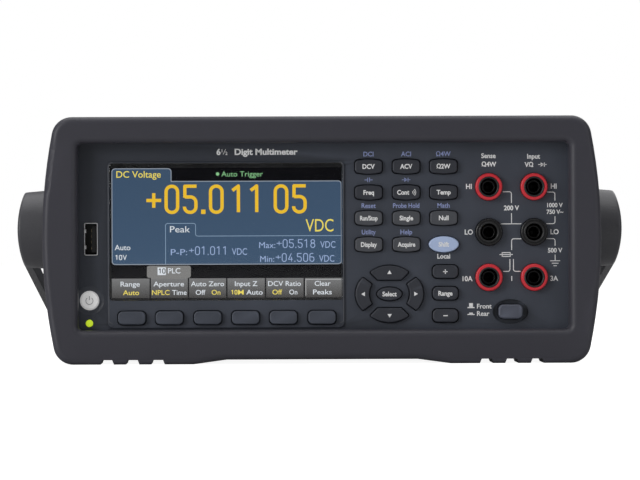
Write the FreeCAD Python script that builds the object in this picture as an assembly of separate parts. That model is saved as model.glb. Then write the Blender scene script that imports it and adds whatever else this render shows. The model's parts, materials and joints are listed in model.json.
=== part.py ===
"""Half-rack bench multimeter: case, rubber bumpers, bail handle, front panel with its keys, and the insides.

Frame: millimetres, +Z up, the front panel faces -Y, +X is on the right of someone who reads the display.
The origin is on the table, under the middle of the instrument.
"""

import FreeCAD
import Part
import math
import os

V = FreeCAD.Vector

# ---------------------------------------------------------------- driving dimensions, mm
DEPTH = 303.2
HEIGHT = 103.8
CASE_W = 212.8
CASE_H = 88.3
CASE_Z0 = 7.75
CASE_DEPTH = 272.3
SHEET = 1.2
CASE_R = 3.5

BUMPER_HALF_W = 117.2
BUMPER_SIDE_R = 233.0
BUMPER_WIDEST_Z = 53.0
BUMPER_LEN = 42.0
BUMPER_FIT = 0.15
BUMPER_CORNER_R = 8.5
BUMPER_EDGE_R = 2.6
BUMPER_OPEN_END_R = 1.6
LIP_R = 3.0
LIP_CORNER_R = 2.0
FOOT_IN_X = 54.0
FOOT_RAMP = 14.0
FOOT_RISE = 1.9
FOOT_NOTCH_X = (68.9, 79.5, 90.2)
FOOT_NOTCH_W = 5.6
FOOT_NOTCH_TAPER = 0.65

PANEL_RECESS = 10.0
PANEL_T = 3.0
SKIRT_LEN = 13.6
SKIRT_T = 2.4
POD_RISE = 0.8
POD_R = 2.4
POD_EDGE_R = 0.5
WINDOW_FIT = 0.15
WINDOW_LEDGE = 0.45

KEY_PROUD = 2.2
KEY_GAP = 0.4
KEY_EDGE_R = 0.55
KEY_FLANGE_T = 1.2
KEY_TRAVEL = 1.0
KEY_RIM = 0.8
ARROW_KEY_RIM = 0.5
BUTTON_R = 3.8
BUTTON_PROUD = 1.6
SELECTOR_PROUD = 3.2
SELECTOR_DISH = 1.8
FLANGE_CLEARANCE = 0.3
SOFTKEY_SIZE = (11.6, 5.6, 2.0)
FUNCTION_KEY_SIZE = (11.4, 6.2)
SHIFT_KEY_SIZE = (12.6, 6.8)
SELECT_KEY_SIZE = (10.5, 5.6)
RANGE_KEY_SIZE = (10.7, 5.5, 2.1)
SELECTOR_CAP = (10.2, 6.0, 2.0)
SELECTOR_HOLE = (10.8, 6.6, 2.2)
SELECTOR_DISH_SIZE = (15.0, 10.4)
LED_R = 1.5
USB_SIZE = (5.7, 13.7, 0.6)
MAT_T = 1.6
DOME_R = (2.0, 3.0)
BOARD_T = 1.6
GLASS_OVER = (3.0, 2.4)
TRAY_OVER = (4.4, 3.4)

JACK_PITCH = 19.05
JACK_R = 5.7
JACK_PROUD = 3.0
JACK_LEN = 26.0
JACK_NUT_R = 7.6
JACK_NUT_T = 2.6
JACK_WELL_R = 3.9
JACK_WELL_DEPTH = 23.0
JACK_BORE_R = 2.0
CONTACT_R = 2.6
CONTACT_SETBACK = 7.5
CONTACT_BORE_LEN = 17.5

HUB_BACK = 90.0
HUB_Z = 56.8
ARM_HUB_R = 15.6
DRUM_R = (17.9, 15.7)
DRUM_LEN = 26.0
ARM_BOW_R = 50.0
ARM_LEAN = 19.0
ARM_FALL = 20.0
HANDLE_HALF_W = 130.6
HANDLE_REACH = 154.0
HANDLE_BOTTOM = 3.2
CORNER_BEND_R = 12.0
BAND_T = 2.8
BOSS_R = 8.0
BOSS_LEN = 12.0
RUN_FIT = 0.05

VENT_COUNT = 12
VENT_PITCH = 5.6
VENT_W = 2.4
VENT_Y = 26.0
VENT_Z = (34.0, 62.0)
FLOOR_VENT_X = (-70.0, 30.0)
FLOOR_VENT_LEN = 40.0
FLOOR_VENT_BACK = 20.0

FAN_DEPTH = 10.4
FAN_DUCT_R = 19.2
FAN_HUB_R = 12.0
FAN_PLATE_T = 1.4
FAN_PIN_R = 1.5
FAN_HOLE_R = 2.0
FAN_HOLE_PITCH = 5.2
FAN_HOLES_WITHIN = 17.0
CABLE_T = 1.0
CABLE_TOP = 33.0
CABLE_BEND_R = 8.0
CABLE_RUN = 26.0

# ---------------------------------------------------------------- derived places
FRONT = -DEPTH / 2
BACK = DEPTH / 2
CASE_Z1 = CASE_Z0 + CASE_H
CASE_ZC = CASE_Z0 + CASE_H / 2
CASE_HALF = CASE_W / 2
CASE_BACK = CASE_DEPTH / 2
PANEL_Y = FRONT + PANEL_RECESS
PANEL_IN = PANEL_Y + PANEL_T
POD_Y = PANEL_Y - POD_RISE
SLEEVE_Y = PANEL_Y + SKIRT_LEN
FLANGE_Y = PANEL_IN + FLANGE_CLEARANCE
DOME_Y = FLANGE_Y + KEY_FLANGE_T + KEY_TRAVEL + 0.3
BOARD_Y = DOME_Y + 4.6
SWITCH_Y = PANEL_IN + 14.0
HUB_Y = FRONT + HUB_BACK
BOW_X = HANDLE_HALF_W - ARM_BOW_R
REAR_PANEL_Y = CASE_BACK - 3.0
REAR_PANEL_T = 1.5
REAR_FACE = REAR_PANEL_Y + REAR_PANEL_T
CHASSIS_Z = CASE_Z0 + SHEET + 0.2
MAIN_Z = 14.1
MAIN_T = 1.6

# ---------------------------------------------------------------- where things sit on the front, (x, z)
POD = (-40.2, 50.05, 99.8, 70.3)
WINDOW = (-40.2, 55.6, 98.0, 57.6)
FRONT_OPENING = (0.75, 53.5, 205.9, 78.4)
REAR_OPENING = (0.0, 52.2, 203.0, 79.0)
SOFTKEY_X = (-79.9, -64.1, -48.0, -32.1, -16.2, 0.0)
SOFTKEY_Z = 19.4
KEY_X = (19.8, 35.6, 51.3)
KEY_Z = (82.7, 71.8, 61.0, 49.9)
NAV = (28.4, 29.1)
RANGE_X = 51.9
RANGE_Z = (38.4, 29.3, 19.9)
JACK_X = (70.3, 70.3 + JACK_PITCH)
JACK_Z = (74.0, 74.0 - JACK_PITCH, 74.0 - 2 * JACK_PITCH)
POWER = (-97.7, 26.8)
LED = (-97.8, 17.2)
USB = (-97.0, 52.6)
SELECTOR = (79.3, 21.5)

KEY_NAMES = (
    ("key_dc_volts", "key_ac_volts", "key_ohms"),
    ("key_frequency", "key_continuity", "key_temperature"),
    ("key_run_stop", "key_single", "key_null"),
    ("key_display", "key_acquire", "key_shift"),
)

# ---------------------------------------------------------------- where things sit on the back, (x, z)
FAN = (-22.0, 56.0)
FAN_SIZE = 40.0
INLET = (-80.0, 49.0)
BNC = ((42.0, 73.0), (42.0, 50.0))
LAN = (12.0, 24.0)
REAR_USB = (38.0, 24.0)
OPTION = (0.0, 84.0)
STUD = (-53.0, 22.0)
LOCK = (62.0, 21.0)


# ---------------------------------------------------------------- small shape helpers
def box(x0, x1, y0, y1, z0, z1):
    return Part.makeBox(x1 - x0, y1 - y0, z1 - z0, V(x0, y0, z0))


def rod_y(x, z, r, y0, y1):
    return Part.makeCylinder(r, y1 - y0, V(x, y0, z), V(0, 1, 0))


def rod_z(x, y, r, z0, z1):
    return Part.makeCylinder(r, z1 - z0, V(x, y, z0), V(0, 0, 1))


def tube_y(x, z, r_out, r_in, y0, y1):
    return rod_y(x, z, r_out, y0, y1).cut(rod_y(x, z, r_in, y0 - 1, y1 + 1))


def extrude_y(wire, y0, y1):
    face = Part.Face(wire)
    solid = face.extrude(V(0, y1 - y0, 0))
    solid.translate(V(0, y0, 0))
    return solid


def round_along_y(solid, r, where=None):
    """Rounds the edges that run along Y."""
    edges = []
    for edge in solid.Edges:
        a = edge.Vertexes[0].Point
        b = edge.Vertexes[-1].Point
        along = abs(a.x - b.x) < 1e-4 and abs(a.z - b.z) < 1e-4 and abs(a.y - b.y) > 0.01
        if along and (where is None or where(a)):
            edges.append(edge)
    return solid.makeFillet(r, edges) if edges else solid


def round_face_edges(solid, r, y, where=None):
    """Rounds the edges that lie in the plane at y."""
    edges = []
    for edge in solid.Edges:
        flat = all(abs(v.Point.y - y) < 1e-4 for v in edge.Vertexes)
        middle = edge.valueAt((edge.FirstParameter + edge.LastParameter) / 2)
        if flat and abs(middle.y - y) < 1e-4 and (where is None or where(middle)):
            edges.append(edge)
    return solid.makeFillet(r, edges)


def plate(cx, cz, w, h, r, y0, y1):
    """A slab that faces Y, with rounded corners."""
    solid = box(cx - w / 2, cx + w / 2, y0, y1, cz - h / 2, cz + h / 2)
    return round_along_y(solid, r) if r > 0 else solid


def barrel(cx, cz, w, h, bulge, r, y0, y1):
    """A slab whose top and bottom edges bow outwards."""
    x0 = cx - w / 2
    x1 = cx + w / 2
    z0 = cz - h / 2 + bulge
    z1 = cz + h / 2 - bulge
    wire = Part.Wire([
        Part.Arc(V(x0, 0, z1), V(cx, 0, z1 + bulge), V(x1, 0, z1)).toShape(),
        Part.makeLine(V(x1, 0, z1), V(x1, 0, z0)),
        Part.Arc(V(x1, 0, z0), V(cx, 0, z0 - bulge), V(x0, 0, z0)).toShape(),
        Part.makeLine(V(x0, 0, z0), V(x0, 0, z1)),
    ])
    return round_along_y(extrude_y(wire, y0, y1), r)


def oval(cx, cz, w, h, y0, y1):
    curve = Part.Ellipse(V(0, 0, 0), w / 2, h / 2).toShape()
    curve.rotate(V(0, 0, 0), V(1, 0, 0), 90)
    curve.translate(V(cx, 0, cz))
    return extrude_y(Part.Wire([curve]), y0, y1)


def lens(cx, cz, turn, grow, y0, y1):
    """The upper or lower arrow key: a wide outer arc and a shorter inner edge."""
    points = [V(-8.3 - grow, 0, 9.2 - grow * 0.3), V(0, 0, 12.0 + grow), V(8.3 + grow, 0, 9.2 - grow * 0.3),
              V(5.0 + grow * 0.4, 0, 5.9 - grow), V(-5.0 - grow * 0.4, 0, 5.9 - grow)]
    return arrow_key(points, None, cx, cz, turn, y0, y1)


def crescent(cx, cz, turn, grow, y0, y1):
    """The left or right arrow key: an outer arc and a hollow inner edge."""
    points = [V(7.0 + grow, 0, 11.2 - grow * 0.3), V(0, 0, 14.3 + grow), V(-7.0 - grow, 0, 11.2 - grow * 0.3),
              V(-4.1 - grow * 0.4, 0, 7.2 - grow), V(4.1 + grow * 0.4, 0, 7.2 - grow)]
    return arrow_key(points, V(0, 0, 8.5 - grow), cx, cz, turn, y0, y1)


def arrow_key(points, hollow, cx, cz, turn, y0, y1):
    a, top, b, c, d = points
    inner = Part.Arc(c, hollow, d).toShape() if hollow else Part.makeLine(c, d)
    wire = Part.Wire([
        Part.Arc(a, top, b).toShape(),
        Part.makeLine(b, c),
        inner,
        Part.makeLine(d, a),
    ])
    solid = round_along_y(extrude_y(wire, y0, y1), 0.8)
    solid.rotate(V(0, 0, 0), V(0, 1, 0), turn)
    solid.translate(V(cx, 0, cz))
    return solid


def cut_all(solid, tools):
    for tool in tools:
        solid = solid.cut(tool)
    return solid


def fuse_all(solids):
    result = solids[0]
    for solid in solids[1:]:
        result = result.fuse(solid)
    return result.removeSplitter()


# ---------------------------------------------------------------- keys
def key_outline(name, grow, y0, y1):
    """The slab of a key's outline, made larger all round by grow."""
    shape, x, z = KEYS[name]
    if shape == "softkey":
        w, h, r = SOFTKEY_SIZE
        return plate(x, z, w + 2 * grow, h + 2 * grow, r + grow * 0.5, y0, y1)
    if shape == "function":
        w, h = FUNCTION_KEY_SIZE
        return barrel(x, z, w + 2 * grow, h + 2 * grow, 0.7, 1.5 + grow * 0.5, y0, y1)
    if shape == "shift":
        w, h = SHIFT_KEY_SIZE
        return oval(x, z, w + 2 * grow, h + 2 * grow, y0, y1)
    if shape == "select":
        w, h = SELECT_KEY_SIZE
        return oval(x, z, w + 2 * grow, h + 2 * grow, y0, y1)
    if shape == "range":
        w, h, r = RANGE_KEY_SIZE
        return plate(x, z, w + 2 * grow, h + 2 * grow, r + grow * 0.5, y0, y1)
    if shape == "lens":
        return lens(NAV[0], NAV[1], 0 if z > 0 else 180, grow, y0, y1)
    return crescent(NAV[0], NAV[1], -90 if x < 0 else 90, grow, y0, y1)


def key_table():
    """Each key's name, with its outline and its centre."""
    table = {}
    for i, x in enumerate(SOFTKEY_X):
        table[f"softkey_{i + 1}"] = ("softkey", x, SOFTKEY_Z)
    for row, z in enumerate(KEY_Z):
        for column, x in enumerate(KEY_X):
            name = KEY_NAMES[row][column]
            table[name] = ("shift" if name == "key_shift" else "function", x, z)
    table["key_up"] = ("lens", 0, 1)
    table["key_down"] = ("lens", 0, -1)
    table["key_left"] = ("crescent", -1, 0)
    table["key_right"] = ("crescent", 1, 0)
    table["key_select"] = ("select", NAV[0], NAV[1])
    for name, z in zip(("key_plus", "key_range", "key_minus"), RANGE_Z):
        table[name] = ("range", RANGE_X, z)
    return table


KEYS = key_table()


def key(name):
    """A cap that stands proud of the panel, with a flange behind the panel that stops it falling out."""
    face = POD_Y if name.startswith("softkey") else PANEL_Y
    rim = ARROW_KEY_RIM if KEYS[name][0] in ("lens", "crescent") else KEY_RIM
    cap = key_outline(name, 0, face - KEY_PROUD, FLANGE_Y + 0.2)
    cap = round_face_edges(cap, KEY_EDGE_R, face - KEY_PROUD)
    return fuse_all([cap, key_outline(name, rim, FLANGE_Y, FLANGE_Y + KEY_FLANGE_T)])


def key_hole(name):
    return key_outline(name, KEY_GAP, POD_Y - 5, PANEL_IN + 5)


def power_button():
    x, z = POWER
    cap = rod_y(x, z, BUTTON_R, PANEL_Y - BUTTON_PROUD, FLANGE_Y + 0.2)
    cap = round_face_edges(cap, 0.6, PANEL_Y - BUTTON_PROUD)
    return fuse_all([cap, rod_y(x, z, BUTTON_R + 1.1, FLANGE_Y, FLANGE_Y + KEY_FLANGE_T)])


def selector_button():
    """The push button that swaps the front and rear terminals, with its long rod to the switch."""
    x, z = SELECTOR
    cap = plate(x, z, *SELECTOR_CAP, PANEL_Y - SELECTOR_PROUD, PANEL_IN + 2.0)
    cap = round_face_edges(cap, 0.8, PANEL_Y - SELECTOR_PROUD)
    stem = box(x - 2, x + 2, PANEL_IN + 1.5, SWITCH_Y + 6.0, z - 2, z + 2)
    return fuse_all([cap, stem])


# ---------------------------------------------------------------- front panel
def front_panel():
    """The moulded panel: a face, a skirt that enters the sleeve, a raised display field and all its holes."""
    body = plate(0, CASE_ZC, CASE_W, CASE_H, CASE_R, PANEL_Y, SLEEVE_Y)
    inside = plate(0, CASE_ZC, CASE_W - 2 * SKIRT_T, CASE_H - 2 * SKIRT_T, CASE_R - 1, PANEL_IN, SLEEVE_Y + 1)
    body = body.cut(inside)
    pod = plate(*POD, POD_R, POD_Y, PANEL_Y + 0.5)
    pod = round_face_edges(pod, POD_EDGE_R, POD_Y)
    body = body.fuse(pod)
    x, z, w, h = WINDOW
    seat = 2 * WINDOW_FIT
    tools = [plate(x, z, w + seat, h + seat, 1.6, POD_Y - 1, POD_Y + 2.0)]
    tools.append(plate(x, z, w - 2 * WINDOW_LEDGE, h - 2 * WINDOW_LEDGE, 1.2, POD_Y - 1, PANEL_IN + 1))
    tools += [key_hole(name) for name in KEYS]
    px, pz = POWER
    dish = Part.makeSphere(12.0, V(px, PANEL_Y - 10.35, pz))
    tools += [dish, rod_y(px, pz, BUTTON_R + 0.3, PANEL_Y - 1, PANEL_IN + 1)]
    tools.append(rod_y(LED[0], LED[1], LED_R + 0.1, PANEL_Y - 1, PANEL_IN + 1))
    tools.append(box(USB[0] - 2.95, USB[0] + 2.95, PANEL_Y - 1, PANEL_IN + 1, USB[1] - 7.0, USB[1] + 7.0))
    sx, sz = SELECTOR
    tools.append(oval(sx, sz, *SELECTOR_DISH_SIZE, PANEL_Y - 1, PANEL_Y + SELECTOR_DISH))
    tools.append(plate(sx, sz, *SELECTOR_HOLE, PANEL_Y - 1, PANEL_IN + 1))
    for jx in JACK_X:
        for jz in JACK_Z:
            tools.append(rod_y(jx, jz, JACK_R + 0.2, PANEL_Y - 1, PANEL_IN + 1))
    return cut_all(body, tools)


def display_window():
    x, z, w, h = WINDOW
    pane = plate(x, z, w, h, 1.5, POD_Y + 0.15, POD_Y + 1.95)
    return round_face_edges(pane, 0.3, POD_Y + 0.15)


def lcd_module():
    """The display panel in its steel tray, with a foam pad behind it that rests on the front board."""
    x, z, w, h = WINDOW
    glass = plate(x, z, w + GLASS_OVER[0], h + GLASS_OVER[1], 0.8, PANEL_IN + 0.1, PANEL_IN + 1.3)
    tray = plate(x, z, w + TRAY_OVER[0], h + TRAY_OVER[1], 1.2, PANEL_IN + 1.3, PANEL_IN + 4.3)
    pads = plate(x, z, w - 10, h - 10, 2.0, PANEL_IN + 4.3, BOARD_Y)
    return fuse_all([glass, tray, pads])


def front_usb_socket():
    """A USB-A receptacle that stands upright: a folded shell and the tongue inside it."""
    x, z = USB
    y0 = PANEL_Y - 0.6
    y1 = BOARD_Y
    shell = plate(x, z, *USB_SIZE, y0, y1)
    shell = shell.cut(plate(x, z, 5.1, 13.1, 0.4, y0 - 1, y1 - 0.8))
    tongue = box(x + 0.2, x + 2.1, y0 + 1.4, y1 - 0.8, z - 5.5, z + 5.5)
    return fuse_all([shell, tongue])


def power_led():
    lens_tip = rod_y(LED[0], LED[1], LED_R, PANEL_Y - 0.4, BOARD_Y)
    return round_face_edges(lens_tip, 0.4, PANEL_Y - 0.4)


def keypad_mat():
    """The silicone mat, in three pieces: for the soft keys, the other keys and the power button."""
    y0 = BOARD_Y - MAT_T
    strip = plate(-39.6, SOFTKEY_Z, 94.0, 8.6, 2.0, y0, BOARD_Y)
    sheet = plate(35.8, 49.0, 46.5, 76.0, 3.0, y0, BOARD_Y)
    button_pad = plate(POWER[0], POWER[1], 9.0, 10.0, 2.0, y0, BOARD_Y)
    solids = {"strip": [strip], "sheet": [sheet], "pad": [button_pad]}
    for name, (shape, x, z) in KEYS.items():
        if shape == "lens":
            x, z = NAV[0], NAV[1] + z * 8.9
        if shape == "crescent":
            x, z = NAV[0] + x * 11.4, NAV[1]
        dome = Part.makeCone(*DOME_R, y0 + 0.1 - DOME_Y, V(x, DOME_Y, z), V(0, 1, 0))
        solids["strip" if name.startswith("softkey") else "sheet"].append(dome)
    dome = Part.makeCone(*DOME_R, y0 + 0.1 - DOME_Y, V(POWER[0], DOME_Y, POWER[1]), V(0, 1, 0))
    solids["pad"].append(dome)
    return Part.Compound([fuse_all(group) for group in solids.values()])


def front_board():
    """The board behind the keys, with its processor, its memory and the socket of the flat cable."""
    board = box(-104.0, 60.5, BOARD_Y, BOARD_Y + BOARD_T, 14.0, 90.0)
    y0 = BOARD_Y + BOARD_T
    processor = box(-70, -45, y0, BOARD_Y + 4.0, 40, 65)
    memory = box(-20, -6, y0, BOARD_Y + 3.4, 46, 60)
    socket = box(20, 50, y0, BOARD_Y + 8.0, 30, 36)
    return fuse_all([board, processor, memory, socket])


# ---------------------------------------------------------------- terminals
def bush(x, z, y_tip, into):
    """An insulating bush: rim, body and nut, with the well that a plug's sleeve enters; into is +1 or -1."""
    y_panel = y_tip + JACK_PROUD * into
    y_nut = y_panel + (PANEL_T if into > 0 else REAR_PANEL_T) * into
    y_nut_end = y_nut + JACK_NUT_T * into
    y_end = y_tip + JACK_LEN * into
    rim = rod_y(x, z, JACK_R, min(y_tip, y_end), max(y_tip, y_end))
    rim = round_face_edges(rim, 0.7, y_tip)
    nut = rod_y(x, z, JACK_NUT_R, min(y_nut, y_nut_end), max(y_nut, y_nut_end))
    y_floor = y_tip + JACK_WELL_DEPTH * into
    well = rod_y(x, z, JACK_WELL_R, min(y_tip - into, y_floor), max(y_tip - into, y_floor))
    hole = rod_y(x, z, CONTACT_R, min(y_tip, y_end + into), max(y_tip, y_end + into))
    return fuse_all([rim, nut]).cut(well).cut(hole)


def contact(x, z, y_tip, into):
    """The brass tube that grips a 4 mm plug, with its solder tail."""
    a = y_tip + CONTACT_SETBACK * into
    b = y_tip + (JACK_LEN + 3.0) * into
    stop = a + CONTACT_BORE_LEN * into
    body = rod_y(x, z, CONTACT_R, min(a, b), max(a, b))
    tail = box(x - 1.6, x + 1.6, min(b - into, b + 6 * into), max(b - into, b + 6 * into), z - 0.5, z + 0.5)
    bore = rod_y(x, z, JACK_BORE_R, min(a - into, stop), max(a - into, stop))
    return fuse_all([body, tail]).cut(bore)


FRONT_JACKS = [(x, z, i != 1) for x in JACK_X for i, z in enumerate(JACK_Z)]
REAR_JACKS = [(JACK_X[1], JACK_Z[0], True), (JACK_X[1], JACK_Z[1], False), (JACK_X[0], JACK_Z[0], True),
              (JACK_X[0], JACK_Z[1], False), (JACK_X[0], JACK_Z[2], True)]


def bushes(red):
    front = [bush(x, z, PANEL_Y - JACK_PROUD, 1) for x, z, is_red in FRONT_JACKS if is_red == red]
    rear = [bush(x, z, REAR_FACE + JACK_PROUD, -1) for x, z, is_red in REAR_JACKS if is_red == red]
    return Part.Compound(front + rear)


def jack_contacts():
    front = [contact(x, z, PANEL_Y - JACK_PROUD, 1) for x, z, _ in FRONT_JACKS]
    rear = [contact(x, z, REAR_FACE + JACK_PROUD, -1) for x, z, _ in REAR_JACKS]
    return Part.Compound(front + rear)


def selector_switch():
    """The long switch that swaps the front and rear terminals; the button's rod enters it."""
    x, z = SELECTOR
    body = box(x - 7, x + 7, SWITCH_Y, SWITCH_Y + 30, MAIN_Z + MAIN_T, z + 6)
    return body.cut(box(x - 2.25, x + 2.25, SWITCH_Y - 1, SWITCH_Y + 14, z - 2.25, z + 2.25))


# ---------------------------------------------------------------- bumpers
def bumper(y_lip, y_open, opening):
    """A rubber bumper: lip at y_lip, open towards y_open where it slides over the case."""
    lo = min(y_lip, y_open)
    hi = max(y_lip, y_open)
    centre = BUMPER_HALF_W - BUMPER_SIDE_R

    def side_x(z):
        return centre + math.sqrt(BUMPER_SIDE_R ** 2 - (z - BUMPER_WIDEST_Z) ** 2)

    top = side_x(HEIGHT)
    foot = side_x(0)
    ramp_x = FOOT_IN_X - FOOT_RAMP
    wire = Part.Wire([
        Part.makeLine(V(-top, 0, HEIGHT), V(top, 0, HEIGHT)),
        Part.Arc(V(top, 0, HEIGHT), V(BUMPER_HALF_W, 0, BUMPER_WIDEST_Z), V(foot, 0, 0)).toShape(),
        Part.makeLine(V(foot, 0, 0), V(FOOT_IN_X, 0, 0)),
        Part.makeLine(V(FOOT_IN_X, 0, 0), V(ramp_x, 0, FOOT_RISE)),
        Part.makeLine(V(ramp_x, 0, FOOT_RISE), V(-ramp_x, 0, FOOT_RISE)),
        Part.makeLine(V(-ramp_x, 0, FOOT_RISE), V(-FOOT_IN_X, 0, 0)),
        Part.makeLine(V(-FOOT_IN_X, 0, 0), V(-foot, 0, 0)),
        Part.Arc(V(-foot, 0, 0), V(-BUMPER_HALF_W, 0, BUMPER_WIDEST_Z), V(-top, 0, HEIGHT)).toShape(),
    ])
    body = extrude_y(wire, lo, hi)
    body = round_along_y(body, BUMPER_CORNER_R, lambda p: abs(p.x) > 100)
    body = round_face_edges(body, BUMPER_EDGE_R, y_lip)
    body = round_face_edges(body, BUMPER_OPEN_END_R, y_open)
    ox, oz, ow, oh = opening
    hole = plate(ox, oz, ow, oh, LIP_CORNER_R, lo - 1, hi + 1)
    inner = PANEL_Y if y_lip < 0 else CASE_BACK + BUMPER_FIT
    pocket_lo = min(inner, y_open + (1 if y_open > y_lip else -1))
    pocket_hi = max(inner, y_open + (1 if y_open > y_lip else -1))
    pocket = plate(0, CASE_ZC, CASE_W + 2 * BUMPER_FIT, CASE_H + 2 * BUMPER_FIT, CASE_R, pocket_lo, pocket_hi)
    tools = [hole, pocket]
    for side in (-1, 1):
        for x in FOOT_NOTCH_X:
            tools.append(foot_notch(side * x, lo, hi))
    body = cut_all(body, tools)
    return round_face_edges(body, LIP_R, y_lip,
                            lambda p: abs(p.x - ox) < ow / 2 + 0.1 and abs(p.z - oz) < oh / 2 + 0.1)


def foot_notch(x, lo, hi):
    """A groove across the foot, narrower at the top."""
    half = FOOT_NOTCH_W / 2
    top = half - FOOT_NOTCH_TAPER
    wire = Part.makePolygon([V(x - half, 0, -1), V(x - half, 0, 0.2), V(x - top, 0, FOOT_RISE),
                             V(x + top, 0, FOOT_RISE), V(x + half, 0, 0.2), V(x + half, 0, -1),
                             V(x - half, 0, -1)])
    return extrude_y(wire, lo - 1, hi + 1)


def front_bumper():
    return bumper(FRONT, FRONT + BUMPER_LEN, FRONT_OPENING)


def rear_bumper():
    return bumper(BACK, BACK - BUMPER_LEN, REAR_OPENING)


# ---------------------------------------------------------------- case
def case_sleeve():
    """The sheet sleeve around the instrument, with louvre slots in its sides and floor."""
    outer = plate(0, CASE_ZC, CASE_W, CASE_H, CASE_R, SLEEVE_Y, CASE_BACK)
    inner = plate(0, CASE_ZC, CASE_W - 2 * SHEET, CASE_H - 2 * SHEET, CASE_R - SHEET,
                  SLEEVE_Y - 1, CASE_BACK + 1)
    return cut_all(outer.cut(inner), vents(CASE_Z0))


def vents(floor_z):
    """The rows of louvre slots through both sides and through the floor at that height."""
    slots = []
    for i in range(VENT_COUNT):
        y = VENT_Y + i * VENT_PITCH
        slots.append(box(-CASE_HALF - 1, CASE_HALF + 1, y, y + VENT_W, *VENT_Z))
        y -= FLOOR_VENT_BACK
        for x in FLOOR_VENT_X:
            slots.append(box(x, x + FLOOR_VENT_LEN, y, y + VENT_W, floor_z - 1, floor_z + 2))
    return slots


def chassis():
    """The folded tray that carries the boards: floor, two walls and a front upstand."""
    x1 = CASE_HALF - SHEET - 0.4
    y0 = SLEEVE_Y + 4
    y1 = REAR_PANEL_Y
    floor = box(-x1, x1, y0, y1, CHASSIS_Z, CHASSIS_Z + 1)
    walls = [box(-x1, -x1 + 1, y0, y1, CHASSIS_Z, 64.0), box(x1 - 1, x1, y0, y1, CHASSIS_Z, 64.0)]
    tray = round_along_y(fuse_all([floor] + walls), 2.6, lambda p: p.z < CHASSIS_Z + 0.1)
    tray = round_along_y(tray, 1.6, lambda p: abs(p.z - CHASSIS_Z - 1) < 0.01 and abs(p.x) > x1 - 1.1)
    return cut_all(tray, vents(CHASSIS_Z))


def rear_panel():
    """The rear plate with the cut-outs for everything that it carries."""
    sheet = plate(0, CASE_ZC, CASE_W - 2 * SHEET - 0.3, CASE_H - 2 * SHEET - 0.3, CASE_R - SHEET,
                  REAR_PANEL_Y, REAR_FACE)
    y0 = REAR_PANEL_Y - 1
    y1 = REAR_FACE + 1
    tools = [rod_y(x, z, JACK_R + 0.2, y0, y1) for x, z, _ in REAR_JACKS]
    tools += [rod_y(x, z, 6.5, y0, y1) for x, z in BNC]
    tools.append(box(LAN[0] - 8.3, LAN[0] + 8.3, y0, y1, LAN[1] - 6.9, LAN[1] + 6.9))
    tools.append(box(REAR_USB[0] - 6.2, REAR_USB[0] + 6.2, y0, y1, REAR_USB[1] - 5.6, REAR_USB[1] + 5.6))
    tools.append(box(INLET[0] - 14.2, INLET[0] + 14.2, y0, y1, INLET[1] - 24.2, INLET[1] + 24.2))
    tools.append(plate(OPTION[0], OPTION[1], 50, 12, 1, y0, y1))
    tools.append(plate(LOCK[0], LOCK[1], 7.0, 3.0, 1.2, y0, y1))
    tools.append(rod_y(STUD[0], STUD[1], 2.2, y0, y1))
    for row in range(-3, 4):
        for column in range(-3, 4):
            x = (column + (row % 2) / 2) * FAN_HOLE_PITCH
            z = row * FAN_HOLE_PITCH * math.sin(math.radians(60))
            if math.hypot(x, z) < FAN_HOLES_WITHIN:
                tools.append(rod_y(FAN[0] + x, FAN[1] + z, FAN_HOLE_R, y0, y1))
    return cut_all(sheet, tools)


# ---------------------------------------------------------------- bail handle
def pivot_bosses():
    """A boss on each side of the case, on which the handle turns."""
    parts = []
    for side in (-1, 1):
        disc = Part.makeCylinder(14.0, 1.1, V(side * CASE_HALF, HUB_Y, HUB_Z), V(side, 0, 0))
        boss = Part.makeCylinder(BOSS_R, BOSS_LEN, V(side * CASE_HALF, HUB_Y, HUB_Z), V(side, 0, 0))
        parts.append(fuse_all([disc, boss]))
    return Part.Compound(parts)


def handle_band():
    """The bail seen from the front: bowed arms that lean in and turn under the case into the crossbar."""
    lean = math.radians(ARM_LEAN)
    out = V(math.cos(lean), 0, -math.sin(lean))
    down = V(-math.sin(lean), 0, -math.cos(lean))
    bow = V(BOW_X, 0, HUB_Z)
    tangent = bow + out * ARM_BOW_R
    bend_z = HANDLE_BOTTOM + CORNER_BEND_R
    drop = tangent.z - (bend_z + out.z * CORNER_BEND_R)
    bend_x = tangent.x + down.x * drop / -down.z - out.x * CORNER_BEND_R
    bend = V(bend_x, 0, bend_z)
    mid_angle = (lean + math.pi / 2) / 2
    mid = V(math.cos(mid_angle), 0, -math.sin(mid_angle))

    def mirrored(side, point):
        return V(side * point.x, 0, point.z)

    def line(side, skin):
        """The arm's outer line, or its inner one, which lies skin further in."""
        r = ARM_BOW_R - skin
        top = V(BOW_X + math.sqrt(r ** 2 - ARM_HUB_R ** 2), 0, HUB_Z + ARM_HUB_R)
        points = [top, bow + V(r, 0, 0), bow + out * r, bend + out * (CORNER_BEND_R - skin),
                  bend + mid * (CORNER_BEND_R - skin), bend - V(0, 0, CORNER_BEND_R - skin)]
        a, b, c, d, e, f = [mirrored(side, p) for p in points]
        return [Part.Arc(a, b, c).toShape(), Part.makeLine(c, d), Part.Arc(d, e, f).toShape()], a, f

    edges = []
    for side in (-1, 1):
        outer, outer_top, outer_end = line(side, 0)
        inner, inner_top, inner_end = line(side, BAND_T)
        edges += outer + inner + [Part.makeLine(outer_top, inner_top)]
        if side < 0:
            left_ends = (outer_end, inner_end)
    edges += [Part.makeLine(left_ends[0], outer_end), Part.makeLine(left_ends[1], inner_end)]
    wire = Part.Wire(Part.__sortEdges__(edges))
    return extrude_y(wire, HUB_Y - 40, HUB_Y + 180)


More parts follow.
